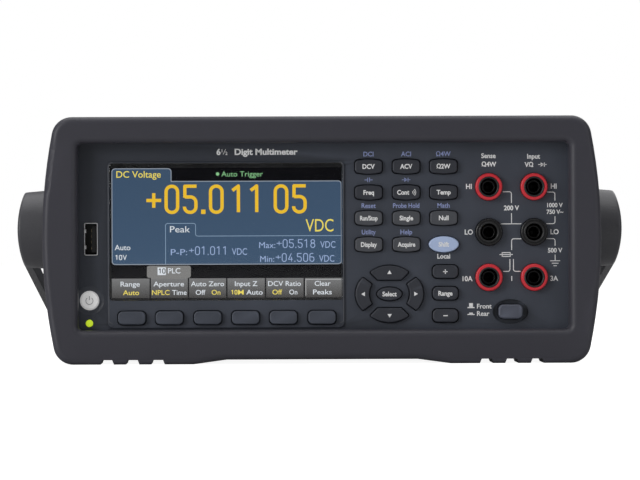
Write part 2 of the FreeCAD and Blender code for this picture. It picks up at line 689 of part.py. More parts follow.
def handle_side():
    """The bail seen from the side: the hub, the arm that falls and narrows, and the crossbar."""
    fall = math.radians(ARM_FALL)
    n = (math.sin(fall), math.cos(fall))
    top = (HUB_Y + ARM_HUB_R * n[0], HUB_Z + ARM_HUB_R * n[1])
    low = (HUB_Y - ARM_HUB_R * n[0], HUB_Z - ARM_HUB_R * n[1])
    front = (HUB_Y - ARM_HUB_R * n[1], HUB_Z + ARM_HUB_R * n[0])
    end_y = HUB_Y + HANDLE_REACH
    start_y = end_y - 26.0
    wire = Part.Wire([
        Part.makeLine(V(0, *top), V(0, end_y - 9, 17.6)),
        Part.Arc(V(0, end_y - 9, 17.6), V(0, end_y - 2.2, 13.6), V(0, end_y, 8.0)).toShape(),
        Part.makeLine(V(0, end_y, 8.0), V(0, end_y, 0)),
        Part.makeLine(V(0, end_y, 0), V(0, start_y, 0)),
        Part.makeLine(V(0, start_y, 0), V(0, start_y, 5.2)),
        Part.makeLine(V(0, start_y, 5.2), V(0, *low)),
        Part.Arc(V(0, *low), V(0, *front), V(0, *top)).toShape(),
    ])
    solid = Part.Face(wire).extrude(V(300, 0, 0))
    solid.translate(V(-150, 0, 0))
    return solid


def handle():
    """The one-piece bail: two drums that turn on the bosses, bowed arms and a flat crossbar."""
    band = handle_band().common(handle_side())
    bow = Part.makeCylinder(ARM_BOW_R, 80, V(BOW_X, HUB_Y - 40, HUB_Z), V(0, 1, 0))
    solids = [band]
    bores = []
    for side in (-1, 1):
        x0 = CASE_HALF + 1.6
        drum = Part.makeCone(DRUM_R[0], DRUM_R[1], DRUM_LEN, V(side * x0, HUB_Y, HUB_Z), V(side, 0, 0))
        bowed = bow.copy()
        if side < 0:
            bowed.translate(V(-2 * BOW_X, 0, 0))
        drum = drum.common(bowed)
        rim = [e for e in drum.Edges if all(abs(v.Point.x) > 125 for v in e.Vertexes) and e.Length > 20]
        solids.append(drum.makeFillet(1.2, rim))
        start = V(side * (CASE_HALF + 0.2), HUB_Y, HUB_Z)
        bores.append(Part.makeCylinder(BOSS_R + RUN_FIT, BOSS_LEN + 0.6, start, V(side, 0, 0)))
    return cut_all(fuse_all(solids), bores)


# ---------------------------------------------------------------- insides
def main_board():
    return box(-96.0, 98.0, SLEEVE_Y + 8, 62.0, MAIN_Z, MAIN_Z + MAIN_T)


def board_components():
    """The larger parts on the main board: processors, relays, capacitors and regulators."""
    z = MAIN_Z + MAIN_T
    solids = []
    for x, y, w, d, h in ((-60, -60, 23, 23, 2.2), (-20, -78, 17, 17, 1.8), (-64, -22, 14, 14, 1.6),
                          (-24, -30, 20, 10, 2.0), (8, -90, 12, 18, 2.4)):
        solids.append(box(x - w / 2, x + w / 2, y - d / 2, y + d / 2, z, z + h))
    for i in range(5):
        solids.append(box(34 + i * 12, 43 + i * 12, -92, -76, z, z + 10.5))
    for x, y, r, h in ((-80, 18, 8, 24), (-80, 38, 8, 24), (-60, 28, 6.3, 18),
                       (-44, 20, 5, 14), (-44, 38, 5, 14)):
        solids.append(rod_z(x, y, r, z, z + h))
    for i in range(4):
        solids.append(box(-30 + i * 14, -20 + i * 14, 48, 53, z, z + 15))
    return Part.Compound(solids)


def shield_can():
    """The lid over the precision analogue circuit, open below."""
    z = MAIN_Z + MAIN_T
    can = round_top(box(20, 94, -62, 34, z, z + 17), 1.5)
    return can.cut(box(20.6, 93.4, -61.4, 33.4, z - 1, z + 16.4))


def round_top(solid, r):
    top = solid.BoundBox.ZMax
    edges = [e for e in solid.Edges if all(abs(v.Point.z - top) < 1e-4 for v in e.Vertexes)]
    return solid.makeFillet(r, edges)


def transformer():
    """A mains transformer on the tray, behind the main board: laminated core and its coil."""
    z = CHASSIS_Z + 1
    core = box(-58, -8, 70, 108, z, z + 44)
    core = core.cut(box(-50, -42, 60, 120, z + 10, z + 34)).cut(box(-24, -16, 60, 120, z + 10, z + 34))
    coil = box(-49.5, -16.5, 63, 115, z + 10.5, z + 33.5)
    coil = coil.makeFillet(3.0, [e for e in coil.Edges if abs(e.tangentAt(e.FirstParameter).z) > 0.9])
    return Part.Compound([core.cut(coil), coil])


def ribbon_cable():
    """A flat cable that drops from the front board and runs back to the main board."""
    t = CABLE_T
    z = MAIN_Z + MAIN_T
    top = CABLE_TOP
    y0 = BOARD_Y + 8.0
    r = CABLE_BEND_R
    y1 = y0 + CABLE_RUN
    q = math.sqrt(0.5)
    outer = [
        Part.makeLine(V(0, y0, top + t), V(0, y1 - r, top + t)),
        Part.Arc(V(0, y1 - r, top + t), V(0, y1 - r + r * q, top + t - r + r * q),
                 V(0, y1, top + t - r)).toShape(),
        Part.makeLine(V(0, y1, top + t - r), V(0, y1, z)),
        Part.makeLine(V(0, y1, z), V(0, y1 - t, z)),
        Part.makeLine(V(0, y1 - t, z), V(0, y1 - t, top + t - r)),
        Part.Arc(V(0, y1 - t, top + t - r), V(0, y1 - r + (r - t) * q, top + t - r + (r - t) * q),
                 V(0, y1 - r, top)).toShape(),
        Part.makeLine(V(0, y1 - r, top), V(0, y0, top)),
        Part.makeLine(V(0, y0, top), V(0, y0, top + t)),
    ]
    strap = Part.Face(Part.Wire(outer)).extrude(V(28, 0, 0))
    strap.translate(V(21, 0, 0))
    return strap


# ---------------------------------------------------------------- rear connectors
def ac_inlet():
    """An appliance inlet with three blades, and the slot for the fuse drawer above it."""
    x, z = INLET
    body = box(x - 13.9, x + 13.9, REAR_FACE - 30, REAR_FACE + 0.1, z - 23.9, z + 23.9)
    flange = plate(x, z, 33, 54, 3.0, REAR_FACE, REAR_FACE + 3.2)
    flange = round_face_edges(flange, 0.8, REAR_FACE + 3.2)
    solid = fuse_all([body, flange])
    cavity = plate(x, z - 8.0, 24.6, 16.6, 3.0, REAR_FACE - 14, REAR_FACE + 4)
    drawer_slot = box(x - 10.3, x + 10.3, REAR_FACE - 24, REAR_FACE + 4, z + 6.7, z + 20.3)
    solid = solid.cut(cavity).cut(drawer_slot)
    blades = [box(x - 8.0, x - 6.0, REAR_FACE - 15, REAR_FACE + 1.0, z - 12.4, z - 7.6),
              box(x + 6.0, x + 8.0, REAR_FACE - 15, REAR_FACE + 1.0, z - 12.4, z - 7.6),
              box(x - 1.0, x + 1.0, REAR_FACE - 15, REAR_FACE + 1.0, z - 6.4, z - 1.6)]
    return fuse_all([solid] + blades)


def fuse_drawer():
    """The drawer that holds the mains fuse, with a finger ledge."""
    x, z = INLET
    drawer = box(x - 10.0, x + 10.0, REAR_FACE - 20, REAR_FACE + 4.2, z + 7.0, z + 20.0)
    drawer = round_face_edges(drawer, 0.8, REAR_FACE + 4.2)
    drawer = drawer.cut(box(x - 6, x + 6, REAR_FACE + 2.6, REAR_FACE + 5, z + 9.2, z + 11.0))
    return drawer.cut(box(x - 8, x + 8, REAR_FACE - 21, REAR_FACE - 2, z + 9.5, z + 21.0))


def bnc_sockets():
    """Two coaxial sockets with bayonet ears."""
    solids = []
    for x, z in BNC:
        y = REAR_FACE
        shell = tube_y(x, z, 4.8, 4.05, y - 8, y + 10.5)
        collar = tube_y(x, z, 7.4, 4.05, y, y + 1.8)
        nut = tube_y(x, z, 8.0, 4.5, y - 4.2, y - 1.6)
        ears = [rod_z(x, y + 8.4, 1.0, z + 4.4, z + 5.6), rod_z(x, y + 8.4, 1.0, z - 5.6, z - 4.4)]
        core = rod_y(x, z, 4.2, y - 10, y + 0.2)
        dielectric = tube_y(x, z, 2.4, 0.7, y, y + 5.0)
        solids.append(fuse_all([shell, collar, nut, core, dielectric] + ears))
    return Part.Compound(solids)


def lan_socket():
    x, z = LAN
    body = box(x - 8.0, x + 8.0, REAR_FACE - 20, REAR_FACE + 0.6, z - 6.6, z + 6.6)
    body = body.cut(box(x - 5.9, x + 5.9, REAR_FACE - 15, REAR_FACE + 1, z - 4.6, z + 3.4))
    return body.cut(box(x - 3.0, x + 3.0, REAR_FACE - 15, REAR_FACE + 1, z + 3.0, z + 5.4))


def rear_usb_socket():
    x, z = REAR_USB
    body = box(x - 5.9, x + 5.9, REAR_FACE - 14, REAR_FACE + 0.6, z - 5.3, z + 5.3)
    body = body.cut(box(x - 4.2, x + 4.2, REAR_FACE - 10, REAR_FACE + 1, z - 3.9, z + 3.9))
    return fuse_all([body, box(x - 2.8, x + 2.8, REAR_FACE - 11, REAR_FACE - 0.4, z - 1.6, z + 1.6)])


def option_cover():
    """The blank plate over the opening for an optional interface card."""
    x, z = OPTION
    cover = plate(x, z, 64, 15.4, 1.0, REAR_FACE, REAR_FACE + 1.2)
    return cut_all(cover, [rod_y(x + s * 28.6, z, 1.6, REAR_FACE - 1, REAR_FACE + 3) for s in (-1, 1)])


def fan_frame():
    """A 40 mm fan's frame: square duct, three struts and the hub that carries the rotor's pin."""
    x, z = FAN
    y0 = REAR_PANEL_Y - FAN_DEPTH
    y1 = REAR_PANEL_Y
    frame = plate(x, z, FAN_SIZE, FAN_SIZE, 3.0, y0, y1)
    frame = frame.cut(rod_y(x, z, FAN_DUCT_R, y0 - 1, y1 + 1))
    parts = [frame, rod_y(x, z, FAN_HUB_R, y0, y0 + FAN_PLATE_T), rod_y(x, z, FAN_PIN_R, y0, y0 + 8.6)]
    for i in range(3):
        strut = box(x, x + 20.0, y0, y0 + FAN_PLATE_T, z - 1.0, z + 1.0)
        strut.rotate(V(x, 0, z), V(0, 1, 0), 40 + i * 120)
        parts.append(strut)
    return fuse_all(parts)


def fan_rotor():
    x, z = FAN
    y0 = REAR_PANEL_Y - FAN_DEPTH + 1.8
    hub = rod_y(x, z, 11.4, y0, y0 + 7.6)
    parts = [hub]
    for i in range(7):
        blade = box(x + 10.5, x + 18.4, y0 + 3.2, y0 + 4.6, z - 4.2, z + 4.2)
        blade.rotate(V(x, y0 + 3.9, z), V(1, 0, 0), 32)
        blade.rotate(V(x, 0, z), V(0, 1, 0), i * 360 / 7)
        parts.append(blade)
    return fuse_all(parts).cut(rod_y(x, z, FAN_PIN_R + RUN_FIT, y0 - 1, y0 + 7.0))


def fasteners():
    """Standoffs, panel screws, the option cover's screws and the earth stud."""
    solids = []
    for x, y in ((-90, -110), (90, -110), (-90, 56), (92, 56), (0, -110), (0, 56)):
        post = rod_z(x, y, 3.0, CHASSIS_Z + 1, MAIN_Z)
        head = round_top(rod_z(x, y, 2.9, MAIN_Z + MAIN_T, MAIN_Z + MAIN_T + 1.9), 0.6)
        solids += [post, head]
    y = REAR_FACE
    for x, z in ((-97, 87), (97, 87), (-97, 17), (97, 17)):
        solids.append(screw_head(x, z, y, 2.9))
    for side in (-1, 1):
        solids.append(screw_head(OPTION[0] + side * 28.6, OPTION[1], y + 1.2, 2.7))
    sx, sz = STUD
    stud = fuse_all([rod_y(sx, sz, 2.0, y - 6, y + 9), rod_y(sx, sz, 4.6, y, y + 3.0)])
    solids.append(stud)
    return Part.Compound(solids)


def screw_head(x, z, y, r):
    head = round_face_edges(rod_y(x, z, r, y, y + 1.9), 0.7, y + 1.9)
    cross = [box(x - 1.6, x + 1.6, y + 1.0, y + 3, z - 0.35, z + 0.35),
             box(x - 0.35, x + 0.35, y + 1.0, y + 3, z - 1.6, z + 1.6)]
    return cut_all(head, cross)


def nodes():
    table = {name: key(name) for name in KEYS}
    table.update({
        "power_button": power_button(),
        "selector_button": selector_button(),
        "selector_switch": selector_switch(),
        "front_panel": front_panel(),
        "display_window": display_window(),
        "lcd_module": lcd_module(),
        "front_usb_socket": front_usb_socket(),
        "power_led": power_led(),
        "keypad_mat": keypad_mat(),
        "front_board": front_board(),
        "red_jack_bushes": bushes(True),
        "black_jack_bushes": bushes(False),
        "jack_contacts": jack_contacts(),
        "front_bumper": front_bumper(),
        "rear_bumper": rear_bumper(),
        "case_sleeve": case_sleeve(),
        "chassis": chassis(),
        "rear_panel": rear_panel(),
        "pivot_bosses": pivot_bosses(),
        "handle": handle(),
        "main_board": main_board(),
        "board_components": board_components(),
        "shield_can": shield_can(),
        "transformer": transformer(),
        "ribbon_cable": ribbon_cable(),
        "ac_inlet": ac_inlet(),
        "fuse_drawer": fuse_drawer(),
        "bnc_sockets": bnc_sockets(),
        "lan_socket": lan_socket(),
        "rear_usb_socket": rear_usb_socket(),
        "option_cover": option_cover(),
        "fan_frame": fan_frame(),
        "fan_rotor": fan_rotor(),
        "fasteners": fasteners(),
    })
    return table


def main():
    os.makedirs("parts", exist_ok=True)
    for name, shape in nodes().items():
        shape.exportStep(f"parts/{name}.step")
        state = "ok" if shape.isValid() and shape.Volume > 0 else "INVALID"
        print(f"{name:22s} solids {len(shape.Solids):3d}  volume {shape.Volume:12.1f}  {state}")


main()
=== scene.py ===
"""Looks of a half-rack bench multimeter: finishes, printed legends, screen picture and studio."""

import json
import math

import bmesh
import bpy
from mathutils import Matrix, Vector


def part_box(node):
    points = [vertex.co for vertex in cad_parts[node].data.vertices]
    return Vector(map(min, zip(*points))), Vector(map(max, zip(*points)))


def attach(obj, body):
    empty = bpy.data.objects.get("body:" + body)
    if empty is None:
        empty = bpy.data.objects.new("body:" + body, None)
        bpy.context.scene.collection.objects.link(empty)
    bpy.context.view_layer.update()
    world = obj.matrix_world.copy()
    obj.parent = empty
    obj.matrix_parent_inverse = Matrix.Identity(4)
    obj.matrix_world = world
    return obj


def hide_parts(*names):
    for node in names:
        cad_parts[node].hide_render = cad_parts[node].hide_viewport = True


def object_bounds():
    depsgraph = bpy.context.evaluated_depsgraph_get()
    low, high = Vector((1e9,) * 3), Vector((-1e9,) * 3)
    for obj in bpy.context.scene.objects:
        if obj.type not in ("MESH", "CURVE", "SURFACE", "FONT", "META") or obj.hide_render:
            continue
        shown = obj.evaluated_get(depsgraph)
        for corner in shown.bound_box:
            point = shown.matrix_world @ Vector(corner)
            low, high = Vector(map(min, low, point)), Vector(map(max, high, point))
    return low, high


bl_info = {
    "name": "Bench multimeter",
    "version": (1, 0, 0),
    "blender": (4, 5, 0),
    "location": "View3D > Sidebar > Multimeter",
    "description": "Dresses a bench multimeter's frame with its finishes, legends and screen",
    "category": "Object",
}

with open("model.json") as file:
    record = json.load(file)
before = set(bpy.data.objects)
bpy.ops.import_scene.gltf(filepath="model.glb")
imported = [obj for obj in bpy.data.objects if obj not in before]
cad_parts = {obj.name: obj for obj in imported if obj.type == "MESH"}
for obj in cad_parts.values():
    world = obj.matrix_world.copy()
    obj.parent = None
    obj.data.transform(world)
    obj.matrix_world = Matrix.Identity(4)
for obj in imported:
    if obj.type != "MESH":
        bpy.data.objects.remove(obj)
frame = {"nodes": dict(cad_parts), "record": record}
CAD_BOX = [list(corner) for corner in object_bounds()]
NODES = frame["nodes"]
MM = 0.001
INK_LIFT = 0.03 * MM
FRONT_ROOT = "instrument"


def low(node):
    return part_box(node)[0]


def high(node):
    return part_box(node)[1]


def middle(node):
    a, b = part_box(node)
    return [(p + q) / 2 for p, q in zip(a, b)]


# ---------------------------------------------------------------- settings
def number_prop(name, description, default, **kind):
    return bpy.props.FloatProperty(name=name, description=description, default=default, **kind)


def length_prop(name, description, default):
    return number_prop(name, description, default, min=0.0, unit="LENGTH", precision=5)


def colour_prop(name, description, default):
    return bpy.props.FloatVectorProperty(name=name, description=description, default=default, size=3,
                                         min=0.0, max=1.0, subtype="COLOR")


def power_prop(name, description, default):
    return number_prop(name, description, default, min=0.0, unit="POWER")


def angle_prop(name, description, degrees):
    return number_prop(name, description, math.radians(degrees), subtype="ANGLE")


class MultimeterSizes(bpy.types.PropertyGroup):
    """Sizes of the printed legends and the small added parts."""
    legend_height: length_prop("Legend height", "Capital height of the words beside the jacks", 1.9 * MM)
    key_legend_height: length_prop("Key legend height", "Capital height of the words on the keys", 1.85 * MM)
    line_width: length_prop("Line width", "Width of the printed lines that join the jacks", 0.34 * MM)
    digit_height: length_prop("Digit height", "Height of the reading's large digits", 12.4 * MM)
    liner_wall: length_prop("Jack liner wall", "Wall of the dark liner inside each jack's well", 0.25 * MM)
    grain: length_prop("Moulding grain", "Size of the texture on the moulded plastic", 0.35 * MM)
    paint_grain: length_prop("Paint grain", "Size of the orange peel on the powder coat", 0.9 * MM)


class MultimeterColours(bpy.types.PropertyGroup):
    """Colours of the finishes."""
    bumper: colour_prop("Bumper", "Rubber of the bumpers", (0.044, 0.0435, 0.056))
    panel: colour_prop("Panel", "Front panel moulding", (0.034, 0.039, 0.052))
    handle: colour_prop("Handle", "Bail handle moulding", (0.060, 0.060, 0.068))
    case: colour_prop("Case", "Powder coat of the sleeve", (0.165, 0.17, 0.18))
    rear: colour_prop("Rear panel", "Paint of the rear plate", (0.30, 0.31, 0.32))
    key_dark: colour_prop("Dark keys", "Charcoal key mouldings", (0.031, 0.034, 0.045))
    key_grey: colour_prop("Grey keys", "Lighter key mouldings", (0.070, 0.074, 0.086))
    key_shift: colour_prop("Shift key", "The light blue oval key", (0.47, 0.58, 0.84))
    jack_red: colour_prop("Red jacks", "Red jack bushes", (0.70, 0.030, 0.045))
    jack_black: colour_prop("Black jacks", "Black jack bushes", (0.005, 0.005, 0.006))
    legend_white: colour_prop("White print", "White legends and lines", (0.98, 0.98, 0.98))
    legend_blue: colour_prop("Blue print", "Legends of the shifted functions", (0.34, 0.40, 0.70))
    screen_blue: colour_prop("Screen blue", "The screen's blue field", (0.050, 0.089, 0.150))
    amber: colour_prop("Amber", "The reading's digits", (0.90, 0.55, 0.034))


class MultimeterStage(bpy.types.PropertyGroup):
    """The studio."""
    distance: length_prop("Camera distance", "From the camera to the front of the bumper", 2.3)
    lens_scale: length_prop("Framing", "Width of the picture at the bumper's front", 0.268)
    azimuth: angle_prop("Azimuth", "Camera's angle to the left of straight on", 0.7)
    roll: angle_prop("Roll", "Camera's tilt about its line of sight", 0.22)
    aim: number_prop("Aim", "How far right of the middle the camera points", -0.84 * MM, unit="LENGTH",
                     precision=5)
    key_power: power_prop("Overhead light", "Power of the large light overhead", 14.0)
    fill_power: power_prop("Left light", "Power of the soft light at the left", 20.0)


def sizes():
    return bpy.context.scene.multimeter_sizes


def colours():
    return bpy.context.scene.multimeter_colours


# ---------------------------------------------------------------- shader groups
def new_group(name, inputs, outputs):
    """An empty shader group with named float inputs {name: default} and named outputs {name: kind}."""
    group = bpy.data.node_groups.new(name, "ShaderNodeTree")
    for label, default in inputs.items():
        socket = group.interface.new_socket(name=label, in_out="INPUT", socket_type="NodeSocketFloat")
        socket.default_value = default
    for label, kind in outputs.items():
        group.interface.new_socket(name=label, in_out="OUTPUT", socket_type=f"NodeSocket{kind}")
    start = group.nodes.new("NodeGroupInput")
    end = group.nodes.new("NodeGroupOutput")
    return group, start, end


def add(tree, kind, **values):
    """Adds a node; values set its properties, or its input sockets where the name is a socket's."""
    node = tree.nodes.new("ShaderNode" + kind)
    for label, value in values.items():
        name = label.replace("_", " ")
        if hasattr(node, label) and name not in node.inputs:
            setattr(node, label, value)
        elif name in node.inputs:
            node.inputs[name].default_value = value
        else:
            node.inputs[int(label[1:])].default_value = value
    return node


def maths(tree, operation, a, b=None, clamp=False):
    node = tree.nodes.new("ShaderNodeMath")
    node.operation = operation
    node.use_clamp = clamp
    for socket, value in zip(node.inputs, (a, b)):
        if value is None:
            continue
        if isinstance(value, (int, float)):
            socket.default_value = value
        else:
            tree.links.new(value, socket)
    return node.outputs[0]


def moulded_texture_group():
    """Spark-eroded mould texture: Height for a bump and Mottle for small shifts of tone and gloss."""
    group, start, end = new_group("moulded texture", {"Size": 0.0004}, {"Height": "Float", "Mottle": "Float"})
    links = group.links
    place = add(group, "TexCoord")
    per_metre = maths(group, "DIVIDE", 1.0, start.outputs["Size"])
    fine = add(group, "TexNoise", Detail=3.0, Roughness=0.62)
    pits = add(group, "TexVoronoi", feature="SMOOTH_F1")
    broad = add(group, "TexNoise", Scale=38.0, Detail=4.0, Roughness=0.55)
    links.new(place.outputs["Object"], fine.inputs["Vector"])
    links.new(place.outputs["Object"], pits.inputs["Vector"])
    links.new(place.outputs["Object"], broad.inputs["Vector"])
    links.new(per_metre, fine.inputs["Scale"])
    links.new(maths(group, "MULTIPLY", per_metre, 1.6), pits.inputs["Scale"])
    height = maths(group, "ADD", maths(group, "MULTIPLY", fine.outputs["Fac"], 0.65),
                   maths(group, "MULTIPLY", pits.outputs["Distance"], 0.35))
    mottle = maths(group, "ADD", maths(group, "MULTIPLY", fine.outputs["Fac"], 0.45),
                   maths(group, "MULTIPLY", broad.outputs["Fac"], 0.55))
    links.new(height, end.inputs["Height"])
    links.new(mottle, end.inputs["Mottle"])
    return group


# A flat surface's Pointiness, with a little room, and how fast the edge wear and painted sheen rise above it.
FLAT_POINTINESS = 0.505
EDGE_GAIN = 16.0


def edge_wear_and_sheen_group():
    """Convex edges lightened, partly as wear where hands rub them and partly as a painted highlight: 0 on
    flats, rising on rounded edges.
    """
    group, start, end = new_group("edge wear and sheen", {"Amount": 0.5}, {"Wear and sheen": "Float"})
    links = group.links
    shape = add(group, "NewGeometry")
    place = add(group, "TexCoord")
    patches = add(group, "TexNoise", Scale=60.0, Detail=3.0)
    links.new(place.outputs["Object"], patches.inputs["Vector"])
    past_flat = maths(group, "SUBTRACT", shape.outputs["Pointiness"], FLAT_POINTINESS)
    lifted = maths(group, "MULTIPLY", past_flat, EDGE_GAIN, clamp=True)
    broken = maths(group, "MULTIPLY", lifted, maths(group, "ADD", patches.outputs["Fac"], 0.3))
    links.new(maths(group, "MULTIPLY", broken, start.outputs["Amount"], clamp=True), end.inputs["Wear and sheen"])
    return group


def settled_dust_group():
    """Fine dust that lies on what faces up: Dust is a mask."""
    group, start, end = new_group("settled dust", {"Amount": 0.1}, {"Dust": "Float"})
    links = group.links
    shape = add(group, "NewGeometry")
    place = add(group, "TexCoord")
    split = add(group, "SeparateXYZ")
    links.new(shape.outputs["Normal"], split.inputs["Vector"])
    specks = add(group, "TexNoise", Scale=240.0, Detail=6.0, Roughness=0.7)
    links.new(place.outputs["Object"], specks.inputs["Vector"])
    up = maths(group, "MULTIPLY", maths(group, "SUBTRACT", split.outputs["Z"], 0.35), 1.4, clamp=True)
    soft = maths(group, "MULTIPLY", maths(group, "SUBTRACT", specks.outputs["Fac"], 0.38), 2.6, clamp=True)
    mask = maths(group, "MULTIPLY", up, soft)
    links.new(maths(group, "MULTIPLY", mask, start.outputs["Amount"], clamp=True), end.inputs["Dust"])
    return group


def brushed_lines_group():
    """Fine lines from rolling or brushing, along X: Lines for gloss and bump."""
    group, start, end = new_group("brushed lines", {"Spacing": 0.0003}, {"Lines": "Float"})
    links = group.links
    place = add(group, "TexCoord")
    stretch = add(group, "Mapping")
    stretch.inputs["Scale"].default_value = (0.03, 1.0, 1.0)
    noise = add(group, "TexNoise", Detail=5.0, Roughness=0.7)
    links.new(place.outputs["Object"], stretch.inputs["Vector"])
    links.new(stretch.outputs["Vector"], noise.inputs["Vector"])
    links.new(maths(group, "DIVIDE", 1.0, start.outputs["Spacing"]), noise.inputs["Scale"])
    links.new(noise.outputs["Fac"], end.inputs["Lines"])
    return group


def display_dots_group():
    """The display's dots: Light is 1 inside a dot and a little less on its borders."""
    group, start, end = new_group("display dots", {"Pitch": 0.0002, "Border": 0.08}, {"Light": "Float"})
    links = group.links
    place = add(group, "TexCoord")
    split = add(group, "SeparateXYZ")
    links.new(place.outputs["Object"], split.inputs["Vector"])
    marks = []
    border = 0.16
    for axis in ("X", "Z"):
        cell = maths(group, "FRACT", maths(group, "DIVIDE", split.outputs[axis], start.outputs["Pitch"]))
        marks.append(maths(group, "GREATER_THAN", cell, border))
    inside = maths(group, "MULTIPLY", marks[0], marks[1])
    outside = maths(group, "SUBTRACT", 1.0, inside)
    light = maths(group, "SUBTRACT", 1.0, maths(group, "MULTIPLY", outside, start.outputs["Border"]))
    links.new(light, end.inputs["Light"])
    return group


GROUP_MAKERS = {
    "moulded texture": moulded_texture_group,
    "edge wear and sheen": edge_wear_and_sheen_group,
    "settled dust": settled_dust_group,
    "brushed lines": brushed_lines_group,
    "display dots": display_dots_group,
}


def place_group(tree, name, **values):
    """Places a shared group, building it the first time."""
    group = bpy.data.node_groups.get(name) or GROUP_MAKERS[name]()
    node = tree.nodes.new("ShaderNodeGroup")
    node.node_tree = group
    for label, value in values.items():
        node.inputs[label].default_value = value
    return node


# ---------------------------------------------------------------- materials
def finish(build):
    """Turns a function that fills a material's tree into one that makes the material once, by name."""
    def make(name, *values, **named):
        material = bpy.data.materials.get(name)
        if material is None:
            material = bpy.data.materials.new(name)
            material.use_nodes = True
            tree = material.node_tree
            build(tree, tree.nodes["Principled BSDF"], *values, **named)
        return material
    return make


def tint(colour, gain):
    return (*[min(1.0, c * gain) for c in colour[:3]], 1.0)


def blend_colours(tree, mask, a, b):
    """A Mix node between two colours or links by a mask link."""
    mix = tree.nodes.new("ShaderNodeMix")
    mix.data_type = "RGBA"
    tree.links.new(mask, mix.inputs["Factor"])
    for socket, value in ((mix.inputs[6], a), (mix.inputs[7], b)):
        if isinstance(value, tuple):
            socket.default_value = value
        else:
            tree.links.new(value, socket)
    return mix.outputs[2]


def spread(tree, mask, lowest, highest):
    """Maps a mask from 0..1 to lowest..highest."""
    node = tree.nodes.new("ShaderNodeMapRange")
    tree.links.new(mask, node.inputs["Value"])
    node.inputs["To Min"].default_value = lowest
    node.inputs["To Max"].default_value = highest
    return node.outputs["Result"]


def bump(tree, shader, height, distance, strength=1.0):
    node = tree.nodes.new("ShaderNodeBump")
    node.inputs["Distance"].default_value = distance
    node.inputs["Strength"].default_value = strength
    tree.links.new(height, node.inputs["Height"])
    tree.links.new(node.outputs["Normal"], shader.inputs["Normal"])


# Convex edges are lightened by this factor: partly rubbed wear, partly a painted highlight.
RUBBED_AND_SHEEN_TINT = 1.9
DUST_COLOUR = (0.42, 0.41, 0.40, 1.0)


@finish
def moulding(tree, shader, colour, rough, size, depth, wear_and_sheen=0.3, dust=0.05, specular=0.5, contrast=0.12):
    """Moulded plastic or rubber: mould texture, mottled gloss, convex edges lightened by wear and a painted
    highlight, and a little dust.
    """
    texture = place_group(tree, "moulded texture", Size=size)
    edges = place_group(tree, "edge wear and sheen", Amount=wear_and_sheen)
    dusty = place_group(tree, "settled dust", Amount=dust)
    mottle = texture.outputs["Mottle"]
    base = blend_colours(tree, mottle, tint(colour, 1 - contrast), tint(colour, 1 + contrast))
    # Wear and painted highlight: convex edges mixed toward a paler tint.
    wear_and_sheen_colour = blend_colours(tree, edges.outputs["Wear and sheen"], base, tint(colour, RUBBED_AND_SHEEN_TINT))
    final = blend_colours(tree, dusty.outputs["Dust"], wear_and_sheen_colour, DUST_COLOUR)
    tree.links.new(final, shader.inputs["Base Color"])
    tree.links.new(spread(tree, mottle, rough + 0.07, rough - 0.07), shader.inputs["Roughness"])
    shader.inputs["Specular IOR Level"].default_value = specular
    bump(tree, shader, texture.outputs["Height"], depth)


@finish
def plated(tree, shader, colour, rough, spacing=0.0003, metallic=1.0):
    """Rolled or plated metal with fine lines and dull patches."""
    lines = place_group(tree, "brushed lines", Spacing=spacing)
    texture = place_group(tree, "moulded texture", Size=0.002)
    base = blend_colours(tree, texture.outputs["Mottle"], tint(colour, 0.86), tint(colour, 1.1))
    tree.links.new(base, shader.inputs["Base Color"])
    shader.inputs["Metallic"].default_value = metallic
    gloss = spread(tree, lines.outputs["Lines"], rough - 0.08, rough + 0.12)
    tree.links.new(gloss, shader.inputs["Roughness"])
    bump(tree, shader, lines.outputs["Lines"], 0.00002, 0.6)


@finish
def solder_mask(tree, shader):
    """A circuit board: green mask over a pattern of tracks, with gold pads."""
    place = add(tree, "TexCoord")
    tracks = add(tree, "TexBrick", Scale=160.0)
    tracks.inputs["Mortar Size"].default_value = 0.03
    tracks.inputs["Color1"].default_value = (0.010, 0.105, 0.045, 1.0)
    tracks.inputs["Color2"].default_value = (0.016, 0.135, 0.058, 1.0)
    tracks.inputs["Mortar"].default_value = (0.045, 0.22, 0.09, 1.0)
    tree.links.new(place.outputs["Object"], tracks.inputs["Vector"])
    pads = add(tree, "TexVoronoi", Scale=420.0)
    tree.links.new(place.outputs["Object"], pads.inputs["Vector"])
    pad = maths(tree, "LESS_THAN", pads.outputs["Distance"], 0.16)
    tree.links.new(blend_colours(tree, pad, tracks.outputs["Color"], (0.75, 0.58, 0.26, 1.0)),
                   shader.inputs["Base Color"])
    tree.links.new(spread(tree, pad, 0.38, 0.25), shader.inputs["Roughness"])


@finish
def printed_ink(tree, shader, colour, rough=0.55):
    """Screen-printed ink: slightly uneven cover."""
    texture = place_group(tree, "moulded texture", Size=0.00022)
    mottle = texture.outputs["Mottle"]
    cover = blend_colours(tree, mottle, tint(colour, 0.84), tint(colour, 1.12))
    tree.links.new(cover, shader.inputs["Base Color"])
    tree.links.new(spread(tree, mottle, rough - 0.05, rough + 0.1), shader.inputs["Roughness"])


